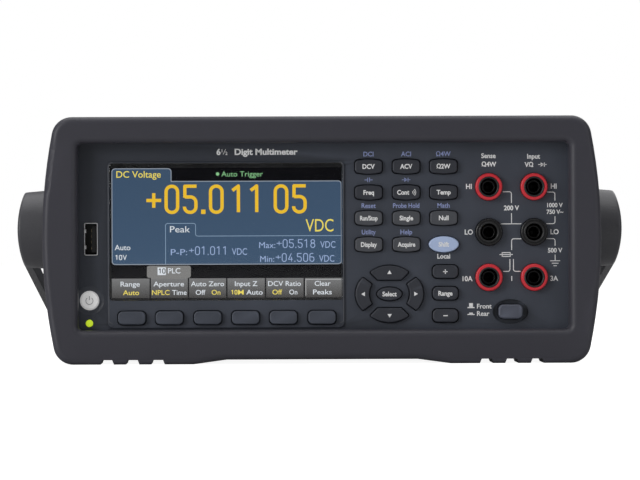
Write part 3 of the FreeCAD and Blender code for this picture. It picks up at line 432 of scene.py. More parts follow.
@finish
def screen_light(tree, shader, colour, fade_to=None, z_range=None):
    """Lit dots of one colour, or fading down the screen between two colours."""
    grid = place_group(tree, "display dots")
    full = (*colour, 1.0)
    if fade_to:
        place = add(tree, "TexCoord")
        split = add(tree, "SeparateXYZ")
        tree.links.new(place.outputs["Object"], split.inputs["Vector"])
        run = tree.nodes.new("ShaderNodeMapRange")
        run.inputs["From Min"].default_value = z_range[0]
        run.inputs["From Max"].default_value = z_range[1]
        tree.links.new(split.outputs["Z"], run.inputs["Value"])
        full = blend_colours(tree, run.outputs["Result"], (*fade_to, 1.0), full)
    lit = blend_colours(tree, grid.outputs["Light"], (0.0, 0.0, 0.0, 1.0), full)
    shader.inputs["Base Color"].default_value = (0.003, 0.003, 0.004, 1.0)
    shader.inputs["Roughness"].default_value = 0.6
    shader.inputs["Specular IOR Level"].default_value = 0.0
    tree.links.new(lit, shader.inputs["Emission Color"])
    shader.inputs["Emission Strength"].default_value = 1.0


@finish
def clear_window(tree, shader):
    """Hard-coated clear plastic with faint smears."""
    texture = place_group(tree, "moulded texture", Size=0.004)
    shader.inputs["Base Color"].default_value = (0.96, 0.97, 0.98, 1.0)
    shader.inputs["Transmission Weight"].default_value = 1.0
    shader.inputs["IOR"].default_value = 1.45
    tree.links.new(spread(tree, texture.outputs["Mottle"], 0.015, 0.05), shader.inputs["Roughness"])


@finish
def lamp_and_painted_glow_plastic(tree, shader, colour, glow, strength):
    """A translucent moulding that gives off an uneven light of its own; on the power button, which is no
    lamp, that glow is painted light.
    """
    texture = place_group(tree, "moulded texture", Size=0.0006)
    mottle = texture.outputs["Mottle"]
    for look, lowest, socket in ((colour, 0.9, "Base Color"), (glow, 0.8, "Emission Color")):
        uneven = blend_colours(tree, mottle, tint(look, lowest), tint(look, 1.1))
        tree.links.new(uneven, shader.inputs[socket])
    shader.inputs["Emission Strength"].default_value = strength
    shader.inputs["Roughness"].default_value = 0.3


@finish
def pale_floor(tree, shader):
    """A pale floor that also glows, much more for the camera than as a light."""
    texture = place_group(tree, "moulded texture", Size=0.01)
    paint = blend_colours(tree, texture.outputs["Mottle"], (0.46, 0.46, 0.46, 1.0), (0.5, 0.5, 0.5, 1.0))
    tree.links.new(paint, shader.inputs["Base Color"])
    shader.inputs["Roughness"].default_value = 0.8
    sight = add(tree, "LightPath")
    tree.links.new(spread(tree, sight.outputs["Is Camera Ray"], 0.05, 0.92), shader.inputs["Emission Color"])
    shader.inputs["Emission Strength"].default_value = 1.0


# ---------------------------------------------------------------- pieces
def dress(node, material):
    """Gives a CAD node its finish."""
    target = NODES[node]
    target.data.materials.clear()
    target.data.materials.append(material)


def make_piece(name, builder, material, body=FRONT_ROOT, smooth=False):
    """Turns a bmesh into a piece that rides on a body."""
    mesh = bpy.data.meshes.new(name)
    builder.to_mesh(mesh)
    builder.free()
    mesh.materials.append(material)
    for polygon in mesh.polygons:
        polygon.use_smooth = smooth
    piece = bpy.data.objects.new(name, mesh)
    bpy.context.scene.collection.objects.link(piece)
    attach(piece, body)
    return piece


def glyph_mesh(text, bold):
    """The built-in font's flat mesh of a text, 1 unit high, as (vertices, faces)."""
    curve = bpy.data.curves.new("glyphs", "FONT")
    curve.body = text
    curve.size = 1.0
    curve.resolution_u = 4
    curve.offset = bold
    holder = bpy.data.objects.new("glyphs", curve)
    bpy.context.scene.collection.objects.link(holder)
    bpy.context.view_layer.update()
    mesh = bpy.data.meshes.new_from_object(holder.evaluated_get(bpy.context.evaluated_depsgraph_get()))
    points = [tuple(v.co) for v in mesh.vertices]
    faces = [tuple(p.vertices) for p in mesh.polygons]
    bpy.data.objects.remove(holder)
    bpy.data.curves.remove(curve)
    bpy.data.meshes.remove(mesh)
    return points, faces


def capital_height():
    points, _ = glyph_mesh("H", 0.0)
    ys = [p[1] for p in points]
    return max(ys) - min(ys)


class Ink:
    """Flat shapes on a plane across Y, in metres; facing is -1 for the front and +1 for the back."""

    capital = None

    def __init__(self, y, facing=-1):
        self.y = y
        self.facing = facing
        self.mesh = bmesh.new()

    def face(self, points):
        """A filled outline, given as (x, z) in the row frame."""
        corners = [self.mesh.verts.new((x, self.y, z)) for x, z in points]
        made = self.mesh.faces.new(corners)
        made.normal_update()
        if made.normal.y * self.facing < 0:
            made.normal_flip()

    def rect(self, x0, z0, x1, z1):
        self.face([(x0, z0), (x1, z0), (x1, z1), (x0, z1)])

    def rounded(self, x0, z0, x1, z1, r, corners="abcd"):
        """A rectangle with round corners; corners names which, a lower left and on round to d upper left."""
        points = []
        middles = {"a": (x0 + r, z0 + r, 180, x0, z0), "b": (x1 - r, z0 + r, 270, x1, z0),
                   "c": (x1 - r, z1 - r, 0, x1, z1), "d": (x0 + r, z1 - r, 90, x0, z1)}
        for label, (cx, cz, start, sx, sz) in middles.items():
            if label not in corners:
                points.append((sx, sz))
                continue
            for i in range(7):
                angle = math.radians(start + 15 * i)
                points.append((cx + r * math.cos(angle), cz + r * math.sin(angle)))
        self.face(points)

    def disc(self, x, z, r, sides=32):
        self.face([(x + r * math.cos(2 * math.pi * i / sides), z + r * math.sin(2 * math.pi * i / sides))
                   for i in range(sides)])

    def arc(self, x, z, r, width, start, end, steps=24):
        """A ring or part of one, between two angles in degrees."""
        for i in range(steps):
            a = math.radians(start + (end - start) * i / steps)
            b = math.radians(start + (end - start) * (i + 1) / steps)
            inner, outer = r - width / 2, r + width / 2
            self.face([(x + inner * math.cos(a), z + inner * math.sin(a)),
                       (x + outer * math.cos(a), z + outer * math.sin(a)),
                       (x + outer * math.cos(b), z + outer * math.sin(b)),
                       (x + inner * math.cos(b), z + inner * math.sin(b))])

    def stroke(self, points, width, bend=0.0):
        """A line through points, with its right-angled corners rounded to the radius bend."""
        last = points[0]
        for i, corner in enumerate(points[1:], 1):
            if i == len(points) - 1 or bend <= 0:
                self.bar(last, corner, width)
                last = corner
                continue
            before = self.toward(corner, last, bend)
            after = self.toward(corner, points[i + 1], bend)
            self.bar(last, before, width)
            cx = before[0] + after[0] - corner[0]
            cz = before[1] + after[1] - corner[1]
            start = math.degrees(math.atan2(before[1] - cz, before[0] - cx))
            end = math.degrees(math.atan2(after[1] - cz, after[0] - cx))
            turn = (end - start + 180) % 360 - 180
            self.arc(cx, cz, bend, width, start, start + turn, 6)
            last = after

    @staticmethod
    def toward(a, b, distance):
        gap = math.hypot(b[0] - a[0], b[1] - a[1])
        return (a[0] + (b[0] - a[0]) * distance / gap, a[1] + (b[1] - a[1]) * distance / gap)

    def bar(self, a, b, width):
        dx, dz = b[0] - a[0], b[1] - a[1]
        gap = math.hypot(dx, dz)
        nx, nz = -dz / gap * width / 2, dx / gap * width / 2
        self.face([(a[0] + nx, a[1] + nz), (b[0] + nx, b[1] + nz),
                   (b[0] - nx, b[1] - nz), (a[0] - nx, a[1] - nz)])

    def text(self, words, x, z, height, align="centre", bold=0.02, narrow=1.0, width=None):
        """Words centred on z, with capitals of that height; align says what x is. A given width is filled."""
        if Ink.capital is None:
            Ink.capital = capital_height()
        points, faces = glyph_mesh(words, bold)
        scale = height / Ink.capital
        left = min(p[0] for p in points)
        right = max(p[0] for p in points)
        anchor = {"left": left, "right": right, "centre": (left + right) / 2}[align]
        if width:
            narrow = width / (right - left) / scale
        verts = []
        for px, py, _ in points:
            across = (px - anchor) * scale * narrow * -self.facing
            verts.append(self.mesh.verts.new((x + across, self.y, z + py * scale - height / 2)))
        for face in faces:
            made = self.mesh.faces.new([verts[i] for i in face])
            made.normal_update()
            if made.normal.y * self.facing < 0:
                made.normal_flip()

    def piece(self, name, material, body=FRONT_ROOT, slot=None):
        make_piece(name, self.mesh, material, body)


def turned(builder, profile, x, z, steps=48):
    """Adds a surface of revolution about the line through (x, z) along Y; profile holds (radius, y)."""
    rings = []
    for r, y in profile:
        rings.append([builder.verts.new((x + r * math.cos(2 * math.pi * i / steps), y,
                                         z + r * math.sin(2 * math.pi * i / steps))) for i in range(steps)])
    for a, b in zip(rings, rings[1:]):
        for i in range(steps):
            j = (i + 1) % steps
            builder.faces.new([a[i], a[j], b[j], b[i]])
    bmesh.ops.recalc_face_normals(builder, faces=builder.faces)


def block(builder, x0, y0, z0, x1, y1, z1):
    """Adds a closed block."""
    made = bmesh.ops.create_cube(builder, size=1.0)["verts"]
    for v in made:
        v.co = Vector((x0 + (v.co.x + 0.5) * (x1 - x0), y0 + (v.co.y + 0.5) * (y1 - y0),
                       z0 + (v.co.z + 0.5) * (z1 - z0)))


# ---------------------------------------------------------------- operators
class MULTIMETER_OT_bumpers(bpy.types.Operator):
    """Finish the two rubber bumpers"""
    bl_idname = "multimeter.bumpers"
    bl_label = "Rubber bumpers"

    def execute(self, context):
        rubber = moulding("bumper rubber", colours().bumper, 0.46, sizes().grain, 0.00003, wear_and_sheen=0.55,
                          specular=0.45)
        for node in ("front_bumper", "rear_bumper"):
            dress(node, rubber)
        return {"FINISHED"}


class MULTIMETER_OT_case(bpy.types.Operator):
    """Finish the sleeve, chassis, rear plate, option cover, bosses and screws"""
    bl_idname = "multimeter.case"
    bl_label = "Case and rear plate"

    def execute(self, context):
        grain, rear = sizes().paint_grain, colours().rear
        dress("case_sleeve", moulding("powder coat", colours().case, 0.5, grain, 0.00006, wear_and_sheen=0.25,
                                      dust=0.10))
        dress("rear_panel", moulding("rear plate paint", rear, 0.48, grain, 0.00004))
        dress("option_cover", moulding("cover paint", tint(rear, 0.9), 0.45, grain, 0.00004))
        dress("chassis", plated("zinc-plated sheet", (0.60, 0.61, 0.60), 0.36))
        dress("pivot_bosses", moulding("boss nylon", (0.035, 0.035, 0.038), 0.45, 0.0005, 0.00002))
        dress("fasteners", plated("nickel-plated screws", (0.66, 0.64, 0.60), 0.24))
        return {"FINISHED"}


# Words beside the jacks: middle in mm, and height as a share of the legend height.
JACK_WORDS = (
    ("Sense", 70.3, 87.1, 1.0), ("Ω4W", 70.5, 83.5, 1.0), ("Input", 89.3, 86.8, 1.0),
    ("VΩ", 87.3, 83.3, 1.0), ("HI", 62.0, 74.2, 1.05), ("HI", 97.7, 74.2, 1.05),
    ("LO", 61.9, 55.0, 1.05), ("LO", 98.0, 55.0, 1.05),
    ("10A", 61.3, 35.4, 1.05), ("3A", 97.8, 35.4, 1.05), ("I", 79.9, 35.4, 1.0), ("200 V", 79.9, 65.1, 1.0),
    ("1000 V", 98.2, 66.2, 0.9), ("750 V~", 98.2, 63.4, 0.9), ("500 V", 98.2, 47.2, 0.95),
    ("Local", 51.3, 44.9, 1.0),
)


class MULTIMETER_OT_front_panel(bpy.types.Operator):
    """Finish the front panel and print the words and lines around the keys and jacks"""
    bl_idname = "multimeter.front_panel"
    bl_label = "Front panel"

    def execute(self, context):
        dress("front_panel", moulding("panel moulding", colours().panel, 0.4, sizes().grain, 0.000025,
                                      wear_and_sheen=0.9, dust=0.02))
        self.y = face_y()
        self.print_white()
        self.print_blue()
        self.painted_edge_highlights()
        return {"FINISHED"}

    def painted_edge_highlights(self):
        """Painted highlights: pale lines drawn down both sides of the raised display field, standing in for
        the light on its bright edges.
        """
        a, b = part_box("display_window")
        out, up, down = 0.3 * MM, 0.3 * MM, 9.6 * MM
        turn_in, bend, width = 1.6 * MM, 1.3 * MM, 0.22 * MM
        ink = Ink(low("front_panel")[1] - INK_LIFT)
        for edge, inward in ((a[0] - out, 1), (b[0] + out, -1)):
            top, bottom = b[2] + up, a[2] - down
            end = edge + inward * turn_in
            ink.stroke([(end, top), (edge, top), (edge, bottom), (end, bottom)], width, bend)
        # Painted highlight: pale ink where the raised field's edges would catch the light.
        ink.piece("display_field_painted_highlights", printed_ink("pale edge line", (0.115, 0.12, 0.135)),
                  slot="panel_plastic")

    def print_white(self):
        h = sizes().legend_height
        ink = Ink(self.y)
        self.title(ink)
        for words, x, z, scale in JACK_WORDS:
            ink.text(words, x * MM, z * MM, h * scale, "centre", 0.028, 0.95)
        ink.text("Front", 65.2 * MM, 23.8 * MM, h, "left", 0.02)
        ink.text("Rear", 65.2 * MM, 20.7 * MM, h, "left", 0.02)
        self.lines(ink)
        self.push_marks(ink)
        diode(ink, 93.0 * MM, 83.3 * MM, 0.9 * MM)
        ink.piece("white_print", printed_ink("white print", colours().legend_white), slot="panel_plastic")

    def title(self, ink):
        """What the instrument is, with its fraction drawn small."""
        z, height, small = 89.1 * MM, 2.4 * MM, 1.35 * MM
        ink.text("6", -44.1 * MM, z, height, "left", 0.035)
        ink.text("1", -41.9 * MM, z + 0.5 * MM, small, "left", 0.01)
        ink.bar((-41.35 * MM, z - 1.1 * MM), (-40.25 * MM, z + 1.1 * MM), 0.2 * MM)
        ink.text("2", -40.4 * MM, z - 0.6 * MM, small, "left", 0.01)
        ink.text("Digit Multimeter", -36.5 * MM, z, height, "left", 0.035, width=26.5 * MM)

    def lines(self, ink):
        """The lines that show which jacks belong together."""
        w = sizes().line_width
        bend = 0.9 * MM
        column = 79.9
        side = 98.2
        runs = [
            [(76.3, 71.9), (column, 71.9), (column, 67.2)],
            [(column, 62.9), (column, 58.4)],
            [(75.4, 58.4), (84.0, 58.4)],
            [(95.0, 71.7), (side, 71.7), (side, 68.1)],
            [(side, 61.5), (side, 58.4), (94.6, 58.4)],
            [(84.0, 52.1), (column, 52.1), (column, 47.4)],
            [(94.6, 52.1), (side, 52.1), (side, 49.1)],
            [(column - 0.75, 43.6), (column - 0.75, 38.4), (76.3, 38.4)],
            [(column + 0.75, 43.6), (column + 0.75, 38.4), (83.7, 38.4)],
            [(side, 45.4), (side, 42.8)],
            [(74.8, 45.5), (80.4, 45.5)],
            [(75.9, 44.7), (79.3, 44.7)],
            [(75.9, 46.3), (79.3, 46.3)],
            [(75.9, 44.55), (75.9, 46.45)],
            [(79.3, 44.55), (79.3, 46.45)],
        ]
        for run in runs:
            ink.stroke([(x * MM, z * MM) for x, z in run], w, bend if len(run) > 2 else 0.0)
        for i, half in enumerate((2.1, 1.4, 0.7)):
            z = (42.8 - 1.05 * i) * MM
            ink.stroke([((side - half) * MM, z), ((side + half) * MM, z)], w)

    def push_marks(self, ink):
        """Out and in marks beside the selector."""
        for z, rise in ((23.0, 1.7), (20.1, 0.6)):
            ink.rect(61.2 * MM, z * MM, 64.2 * MM, (z + 0.45) * MM)
            ink.rect(61.9 * MM, (z + 0.4) * MM, 63.5 * MM, (z + 0.4 + rise) * MM)

    def print_blue(self):
        ink = Ink(self.y)
        h = sizes().legend_height
        for node, words in (("key_dc_volts", "DCI"), ("key_ac_volts", "ACI"), ("key_ohms", "Ω4W"),
                            ("key_run_stop", "Reset"), ("key_single", "Probe Hold"), ("key_null", "Math"),
                            ("key_display", "Utility"), ("key_acquire", "Help")):
            x, _, z = middle(node)
            ink.text(words, x, z + 5.25 * MM, h, "centre", 0.016, 0.86 if len(words) > 6 else 0.96)
        x, _, z = middle("key_frequency")
        z += 5.3 * MM
        plate, lead = 0.38 * MM, 1.7 * MM
        for side in (-1, 1):
            ink.rect(x + side * plate - 0.15 * MM, z - 0.95 * MM, x + side * plate + 0.15 * MM, z + 0.95 * MM)
            ink.rect(x + min(side * plate, side * lead), z - 0.14 * MM, x + max(side * plate, side * lead),
                     z + 0.14 * MM)
        x = middle("key_continuity")[0]
        diode(ink, x, z, 0.9 * MM)
        ink.piece("blue_print", printed_ink("blue print", colours().legend_blue), slot="panel_plastic")


def face_y():
    """The plane for print on the panel's flat face, which lies behind its raised display field."""
    return low("front_panel")[1] + 0.8 * MM - INK_LIFT


def diode(ink, x, z, r):
    """A diode symbol pointing right."""
    ink.bar((x - 2.0 * r, z), (x + 2.0 * r, z), 0.26 * MM)
    ink.face([(x - 0.85 * r, z - r), (x + 0.75 * r, z), (x - 0.85 * r, z + r)])
    ink.bar((x + 0.9 * r, z - r), (x + 0.9 * r, z + r), 0.3 * MM)


# Each numeral's lines in a cell one wide and one tall; True rounds the corners.
NUMERALS = {
    "0": (([(0.5, 0), (1, 0), (1, 1), (0, 1), (0, 0), (0.5, 0)], True),),
    "1": (([(0.0, 0.83), (0.52, 1), (0.52, 0)], False),),
    "4": (([(0.7, 1), (0, 0.27), (1, 0.27)], False), ([(0.74, 0.56), (0.74, 0)], False)),
    "5": (([(1.06, 1), (0.04, 1), (0.04, 0.56)], False),
          ([(0.04, 0.59), (1, 0.59), (1, 0), (0, 0), (0, 0.22)], True)),
    "6": (([(0.86, 1), (0, 1), (0, 0), (1, 0), (1, 0.57), (0.02, 0.57)], True),),
    "8": (([(0.5, 0), (1, 0), (1, 0.54), (0, 0.54), (0, 0), (0.5, 0)], True),
          ([(0.5, 0.54), (0.94, 0.54), (0.94, 1), (0.06, 1), (0.06, 0.54), (0.5, 0.54)], True)),
    "+": (([(-0.15, 0.46), (1.15, 0.46)], False), ([(0.5, 0.18), (0.5, 0.74)], False)),
}


SCREEN_WHITE = (0.78, 0.82, 0.86)
SCREEN_YELLOW = (0.90, 0.74, 0.13)
SCREEN_DARK = (0.002, 0.002, 0.003)


class MULTIMETER_OT_screen(bpy.types.Operator):
    """Make the lit picture behind the window, and finish the window and the display panel"""
    bl_idname = "multimeter.screen"
    bl_label = "Display"

    # Edges of the picture, in mm from the window's middle.
    LEFT, RIGHT, TOP, BOTTOM = -48.15, 48.7, 26.75, -28.1
    FIELD_TOP, FIELD_BOTTOM = 21.35, -13.9
    TAB_RIGHT = -22.9
    CELL_TOP = -19.65
    CELLS = ((-48.15, -32.3), (-31.75, -16.2), (-15.65, -0.1), (0.5, 16.2), (16.8, 32.5), (33.15, 48.7))

    def execute(self, context):
        dress("display_window", clear_window("clear window"))
        dress("lcd_module", moulding("display tray", (0.006, 0.006, 0.007), 0.4, 0.0006, 0.00001, wear_and_sheen=0.1,
                                     dust=0.0))
        self.cx, _, self.cz = middle("display_window")
        self.y = low("lcd_module")[1] - 0.02 * MM
        self.layer = 0
        self.border()
        self.fields()
        self.reading()
        self.small_readings()
        self.notes()
        self.menu()
        return {"FINISHED"}

    def at(self, across, up):
        """A place on the screen: mm right of and above the window's middle."""
        return self.cx + across * MM, self.cz + up * MM

    def sheet(self):
        """The next layer of the picture, a hair in front of the last."""
        self.layer += 1
        return Ink(self.y - 0.012 * MM * self.layer)

    def area(self, ink, left, bottom, right, top, r=0.0, corners="abcd"):
        x0, z0 = self.at(left, bottom)
        x1, z1 = self.at(right, top)
        if r:
            ink.rounded(x0, z0, x1, z1, r * MM, corners)
        else:
            ink.rect(x0, z0, x1, z1)

    def words(self, ink, text, left, right, up, height, bold=0.006):
        """Words that fill a width, at a height above the window's middle; a leading 10 is drawn as lines."""
        if text.startswith("10"):
            cell = height * 0.62
            left = self.numerals(ink, "10", left, up - height / 2, cell, height, 0.34, 0.2, 0.0) + 0.05
            text = text[2:]
            if not text:
                return
        x, z = self.at(left, up)
        ink.text(text, x, z, height * MM, "left", bold, width=(right - left) * MM)

    def numerals(self, ink, text, left, bottom, cell, height, stroke, gap, dot):
        """Figures drawn with lines, each in a cell of that width, from a left edge on."""
        bend = min(0.48 * (cell - stroke), 0.24 * (height - stroke)) * MM
        for mark in text:
            if mark == " ":
                left += dot + gap * 1.3
                continue
            if mark == ".":
                self.area(ink, left, bottom, left + dot, bottom + dot)
                left += dot + gap
                continue
            for points, rounded in NUMERALS[mark]:
                places = [self.at(left + stroke / 2 + u * (cell - stroke),
                                  bottom + stroke / 2 + v * (height - stroke)) for u, v in points]
                ink.stroke(places, stroke * MM, bend if rounded else 0.0)
                if not rounded:
                    for place in places[1:-1]:
                        ink.disc(*place, stroke / 2 * MM, 12)
            left += cell + gap
        return left

    def border(self):
        """The black border printed on the back of the window."""
        a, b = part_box("display_window")
        inset = 0.1 * MM
        x0, z0 = a[0] + inset, a[2] + inset
        x1, z1 = b[0] - inset, b[2] - inset
        left, bottom = self.at(self.LEFT - 0.1, self.BOTTOM)
        right, top = self.at(self.RIGHT + 0.02, self.TOP + 0.1)
        ink = Ink(b[1] + 0.02 * MM)
        for box in ((x0, z0, x1, bottom), (x0, top, x1, z1),
                    (x0, bottom, left, top), (right, bottom, x1, top)):
            ink.rect(*box)
        ink.piece("window_border", printed_ink("black print", (0.004, 0.004, 0.005), 0.4), slot="lcd")

    def fields(self):
        ink = self.sheet()
        self.area(ink, self.LEFT - 0.4, self.BOTTOM - 0.3, self.RIGHT + 0.3, self.TOP + 0.3)
        ink.piece("screen_ground", screen_light("dark dots", SCREEN_DARK), slot="lcd")
        line = 0.36
        for name, inset, r in (("screen_frame", 0.0, 1.5), ("screen_field", line, 1.5 - line)):
            ink = self.sheet()
            left, field_top = self.LEFT + inset, self.FIELD_TOP - inset
            self.area(ink, left, self.FIELD_BOTTOM + inset, self.RIGHT - inset, field_top, r, "abc")
            tab_low = self.FIELD_TOP - line - 0.6
            self.area(ink, left, tab_low, self.TAB_RIGHT - inset, self.TOP - inset, r, "cd")
            if name == "screen_frame":
                lit = screen_light("pale blue dots", (0.30, 0.34, 0.40))
            else:
                deep = tuple(colours().screen_blue)
                light = tuple(c * 1.12 for c in deep)
                lit = screen_light("blue dots", deep, light,
                                   (self.at(0, self.FIELD_BOTTOM)[1], self.at(0, self.FIELD_TOP)[1]))
            ink.piece(name, lit, slot="lcd")
        ink = self.sheet()
        ink.stroke([self.at(-25.5, self.FIELD_BOTTOM + 0.3), self.at(-25.5, 3.5), self.at(-12.85, 3.5),
                    self.at(-12.85, -1.85), self.at(self.RIGHT - 0.3, -1.85)], 0.26 * MM, 0.9 * MM)
        ink.piece("screen_peak_frame", screen_light("frame dots", (0.27, 0.38, 0.52)), slot="lcd")

    def reading(self):
        """The large figures, the function's name and the unit."""
        amber = self.sheet()
        height = sizes().digit_height / MM
        self.numerals(amber, "+", -33.5, 7.45, 6.2, height, 1.4, 0, 0)
        self.numerals(amber, "05.0", -25.9, 7.45, 6.25, height, 1.4, 1.45, 1.85)
        self.numerals(amber, "11", 2.0, 7.45, 6.25, height, 1.4, 1.45, 1.85)
        self.numerals(amber, "05", 20.05, 7.45, 6.25, height, 1.4, 1.45, 1.85)
        amber.piece("screen_reading", screen_light("amber dots", tuple(colours().amber)), slot="lcd")
        yellow = self.sheet()
        self.words(yellow, "DC Voltage", -46.1, -27.4, 24.2, 2.7)
        self.words(yellow, "VDC", 33.5, 45.2, 2.5, 5.2, 0.0)
        yellow.piece("screen_units", screen_light("yellow dots", SCREEN_YELLOW), slot="lcd")
        green = self.sheet()
        green.disc(*self.at(-3.5, 24.25), 0.72 * MM, 20)
        self.words(green, "Auto Trigger", -1.9, 15.6, 24.25, 2.15, 0.0)
        green.piece("screen_trigger", screen_light("green dots", (0.27, 0.60, 0.28)), slot="lcd")

    def small_readings(self):
        """The peak readings: label, figures and unit in each."""
        pale = self.sheet()
        for label, value, left, end, first, unit, down in (
                ("P-P:", "+01.011", -23.3, -16.4, -15.6, 2.4, -9.85),
                ("Max:", "+05.518", 13.9, 20.7, 21.3, 39.6, -7.0),
                ("Min:", "+04.506", 14.3, 20.2, 20.9, 39.1, -12.85)):
            self.words(pale, label, left, end, down + 1.25, 2.5, 0.0)
            self.numerals(pale, value[0], first, down + 0.5, 2.0, 3.2, 0.3, 0.0, 0.0)
            self.numerals(pale, value[1:], first + 2.5, down, 2.05, 3.7, 0.34, 0.6, 0.45)
            self.words(pale, "VDC", unit, unit + 6.4, down + 1.4, 2.75, 0.0)
        pale.piece("screen_small_readings", screen_light("soft blue dots", (0.36, 0.47, 0.72)), slot="lcd")

    def notes(self):
        white = self.sheet()
        self.words(white, "Auto", -46.9, -40.3, -6.55, 2.2)
        self.words(white, "10V", -46.7, -41.8, -10.75, 2.2)
        self.words(white, "Peak", -23.6, -15.2, 1.05, 2.6, 0.0)
        white.piece("screen_notes", screen_light("white dots", SCREEN_WHITE), slot="lcd")

    def menu(self):
        """The row of soft key labels along the bottom, with the small tab above it."""
        cells = self.sheet()
        for left, right in self.CELLS:
            self.area(cells, left, self.BOTTOM + 0.25, right, self.CELL_TOP)
        z_low, z_high = self.at(0, self.BOTTOM)[1], self.at(0, self.CELL_TOP)[1]
        cells.piece("screen_menu", screen_light("menu dots", (0.20, 0.20, 0.20), (0.055, 0.052, 0.05),
                                                (z_low, z_high)), slot="lcd")
        tab = self.sheet()
        self.area(tab, -33.4, -19.35, -14.9, -14.3, 0.9)
        self.area(tab, -31.75, -19.8, -16.2, -18.6)
        tab.piece("screen_tab", screen_light("grey dots", (0.225, 0.222, 0.215)), slot="lcd")
        outline = self.sheet()
        left, right = self.CELLS[-1]
        self.area(outline, left + 0.2, self.CELL_TOP - 0.75, right - 0.5, self.CELL_TOP - 0.5)
        self.area(outline, left + 0.2, self.BOTTOM + 1.0, left + 0.45, self.CELL_TOP - 0.5)
        outline.piece("screen_outline", screen_light("outline dots", (0.50, 0.50, 0.50)), slot="lcd")
        white = self.sheet()
        yellow = self.sheet()
        rows = ((-21.95, (("Range", -44.5, -36.4), ("Aperture", -30.7, -17.8), ("Auto Zero", -14.9, -0.9),
                          ("Input Z", 3.6, 13.1), ("DCV Ratio", 17.6, 31.4), ("Clear", 37.2, 43.9))),
                (-25.55, (("Auto*", -43.5, -36.7), ("NPLC*", -31.3, -23.9), ("Time", -22.8, -16.7),
                          ("Off", -12.9, -8.8), ("On*", -6.2, -2.5), ("10M*", 2.0, 7.3), ("Auto", 8.4, 15.3),
                          ("Off*", 19.4, 23.5), ("On", 26.5, 29.9), ("Peaks", 36.5, 44.4))))
        for up, row in rows:
            for text, left, right in row:
                lit = text.endswith("*")
                self.words(yellow if lit else white, text.rstrip("*"), left, right, up, 2.0, 0.008)
        self.area(white, -28.9, -18.2, -25.4, -14.95)
        self.words(white, "PLC", -24.5, -19.3, -16.4, 2.2, 0.01)
        white.piece("screen_menu_words", screen_light("white dots", SCREEN_WHITE), slot="lcd")
        yellow.piece("screen_menu_choices", screen_light("yellow dots", SCREEN_YELLOW), slot="lcd")
        dark = self.sheet()
        self.words(dark, "10", -28.5, -25.7, -16.5, 2.2, 0.01)
        dark.piece("screen_marked_digits", screen_light("dark dots", SCREEN_DARK), slot="lcd")


KEY_WORDS = {
    "key_dc_volts": "DCV", "key_ac_volts": "ACV", "key_ohms": "Ω2W", "key_frequency": "Freq",
    "key_continuity": "Cont", "key_temperature": "Temp", "key_run_stop": "Run/Stop", "key_single": "Single",
    "key_null": "Null", "key_display": "Display", "key_acquire": "Acquire", "key_shift": "Shift",
    "key_select": "Select", "key_range": "Range",
}
GREY_KEYS = ("key_run_stop", "key_single", "key_null", "key_display", "key_acquire")


class MULTIMETER_OT_keys(bpy.types.Operator):
    """Finish every key and print its legend"""
    bl_idname = "multimeter.keys"
    bl_label = "Keys"

    def execute(self, context):
        c = colours()
        grain = sizes().grain
        dark = moulding("charcoal key", c.key_dark, 0.5, grain, 0.00002, wear_and_sheen=0.8, dust=0.0)
        grey = moulding("grey key", c.key_grey, 0.5, grain, 0.00002, wear_and_sheen=0.5, dust=0.0)
        soft = moulding("soft key", tint(c.panel, 1.6), 0.5, grain, 0.00002, wear_and_sheen=0.7, dust=0.0)
        blue = moulding("shift key", c.key_shift, 0.42, grain, 0.00002, wear_and_sheen=0.1, dust=0.0, contrast=0.05)
        white = printed_ink("white print", c.legend_white)
        for node in NODES:
            if not node.startswith(("key_", "softkey_")):
                continue
            finish = soft if node.startswith("softkey") else dark
            if node in GREY_KEYS:
                finish = grey
            dress(node, blue if node == "key_shift" else finish)
            self.legend(node, white)
        return {"FINISHED"}

    def legend(self, node, white):
        x, _, z = middle(node)
        ink = Ink(low(node)[1] - INK_LIFT)
        if node in KEY_WORDS:
            words = KEY_WORDS[node]
            h = sizes().key_legend_height
            narrow = {"Run/Stop": 0.74, "Cont": 0.9, "Display": 0.84, "Acquire": 0.84}.get(words, 0.92)
            ink.text(words, x - (1.3 * MM if words == "Cont" else 0), z, h, "centre", 0.03, narrow)
            if words == "Cont":
                for i in range(3):
                    ink.arc(x + 2.2 * MM, z, (0.55 + 0.62 * i) * MM, 0.24 * MM, -48, 48, 6)
        elif node in ("key_plus", "key_minus"):
            ink.rect(x - 0.95 * MM, z - 0.2 * MM, x + 0.95 * MM, z + 0.2 * MM)
            if node == "key_plus":
                ink.rect(x - 0.2 * MM, z - 0.95 * MM, x + 0.2 * MM, z + 0.95 * MM)
        elif node in ("key_up", "key_down", "key_left", "key_right"):
            turn = {"key_up": 90, "key_left": 180, "key_down": 270, "key_right": 0}[node]
            points = [(x + 1.05 * MM * math.cos(math.radians(turn + k * 120)),
                       z + 1.05 * MM * math.sin(math.radians(turn + k * 120))) for k in range(3)]
            ink.face(points)
        else:
            ink.mesh.free()
            return
        ink.piece(node + "_legend", white, body=node)


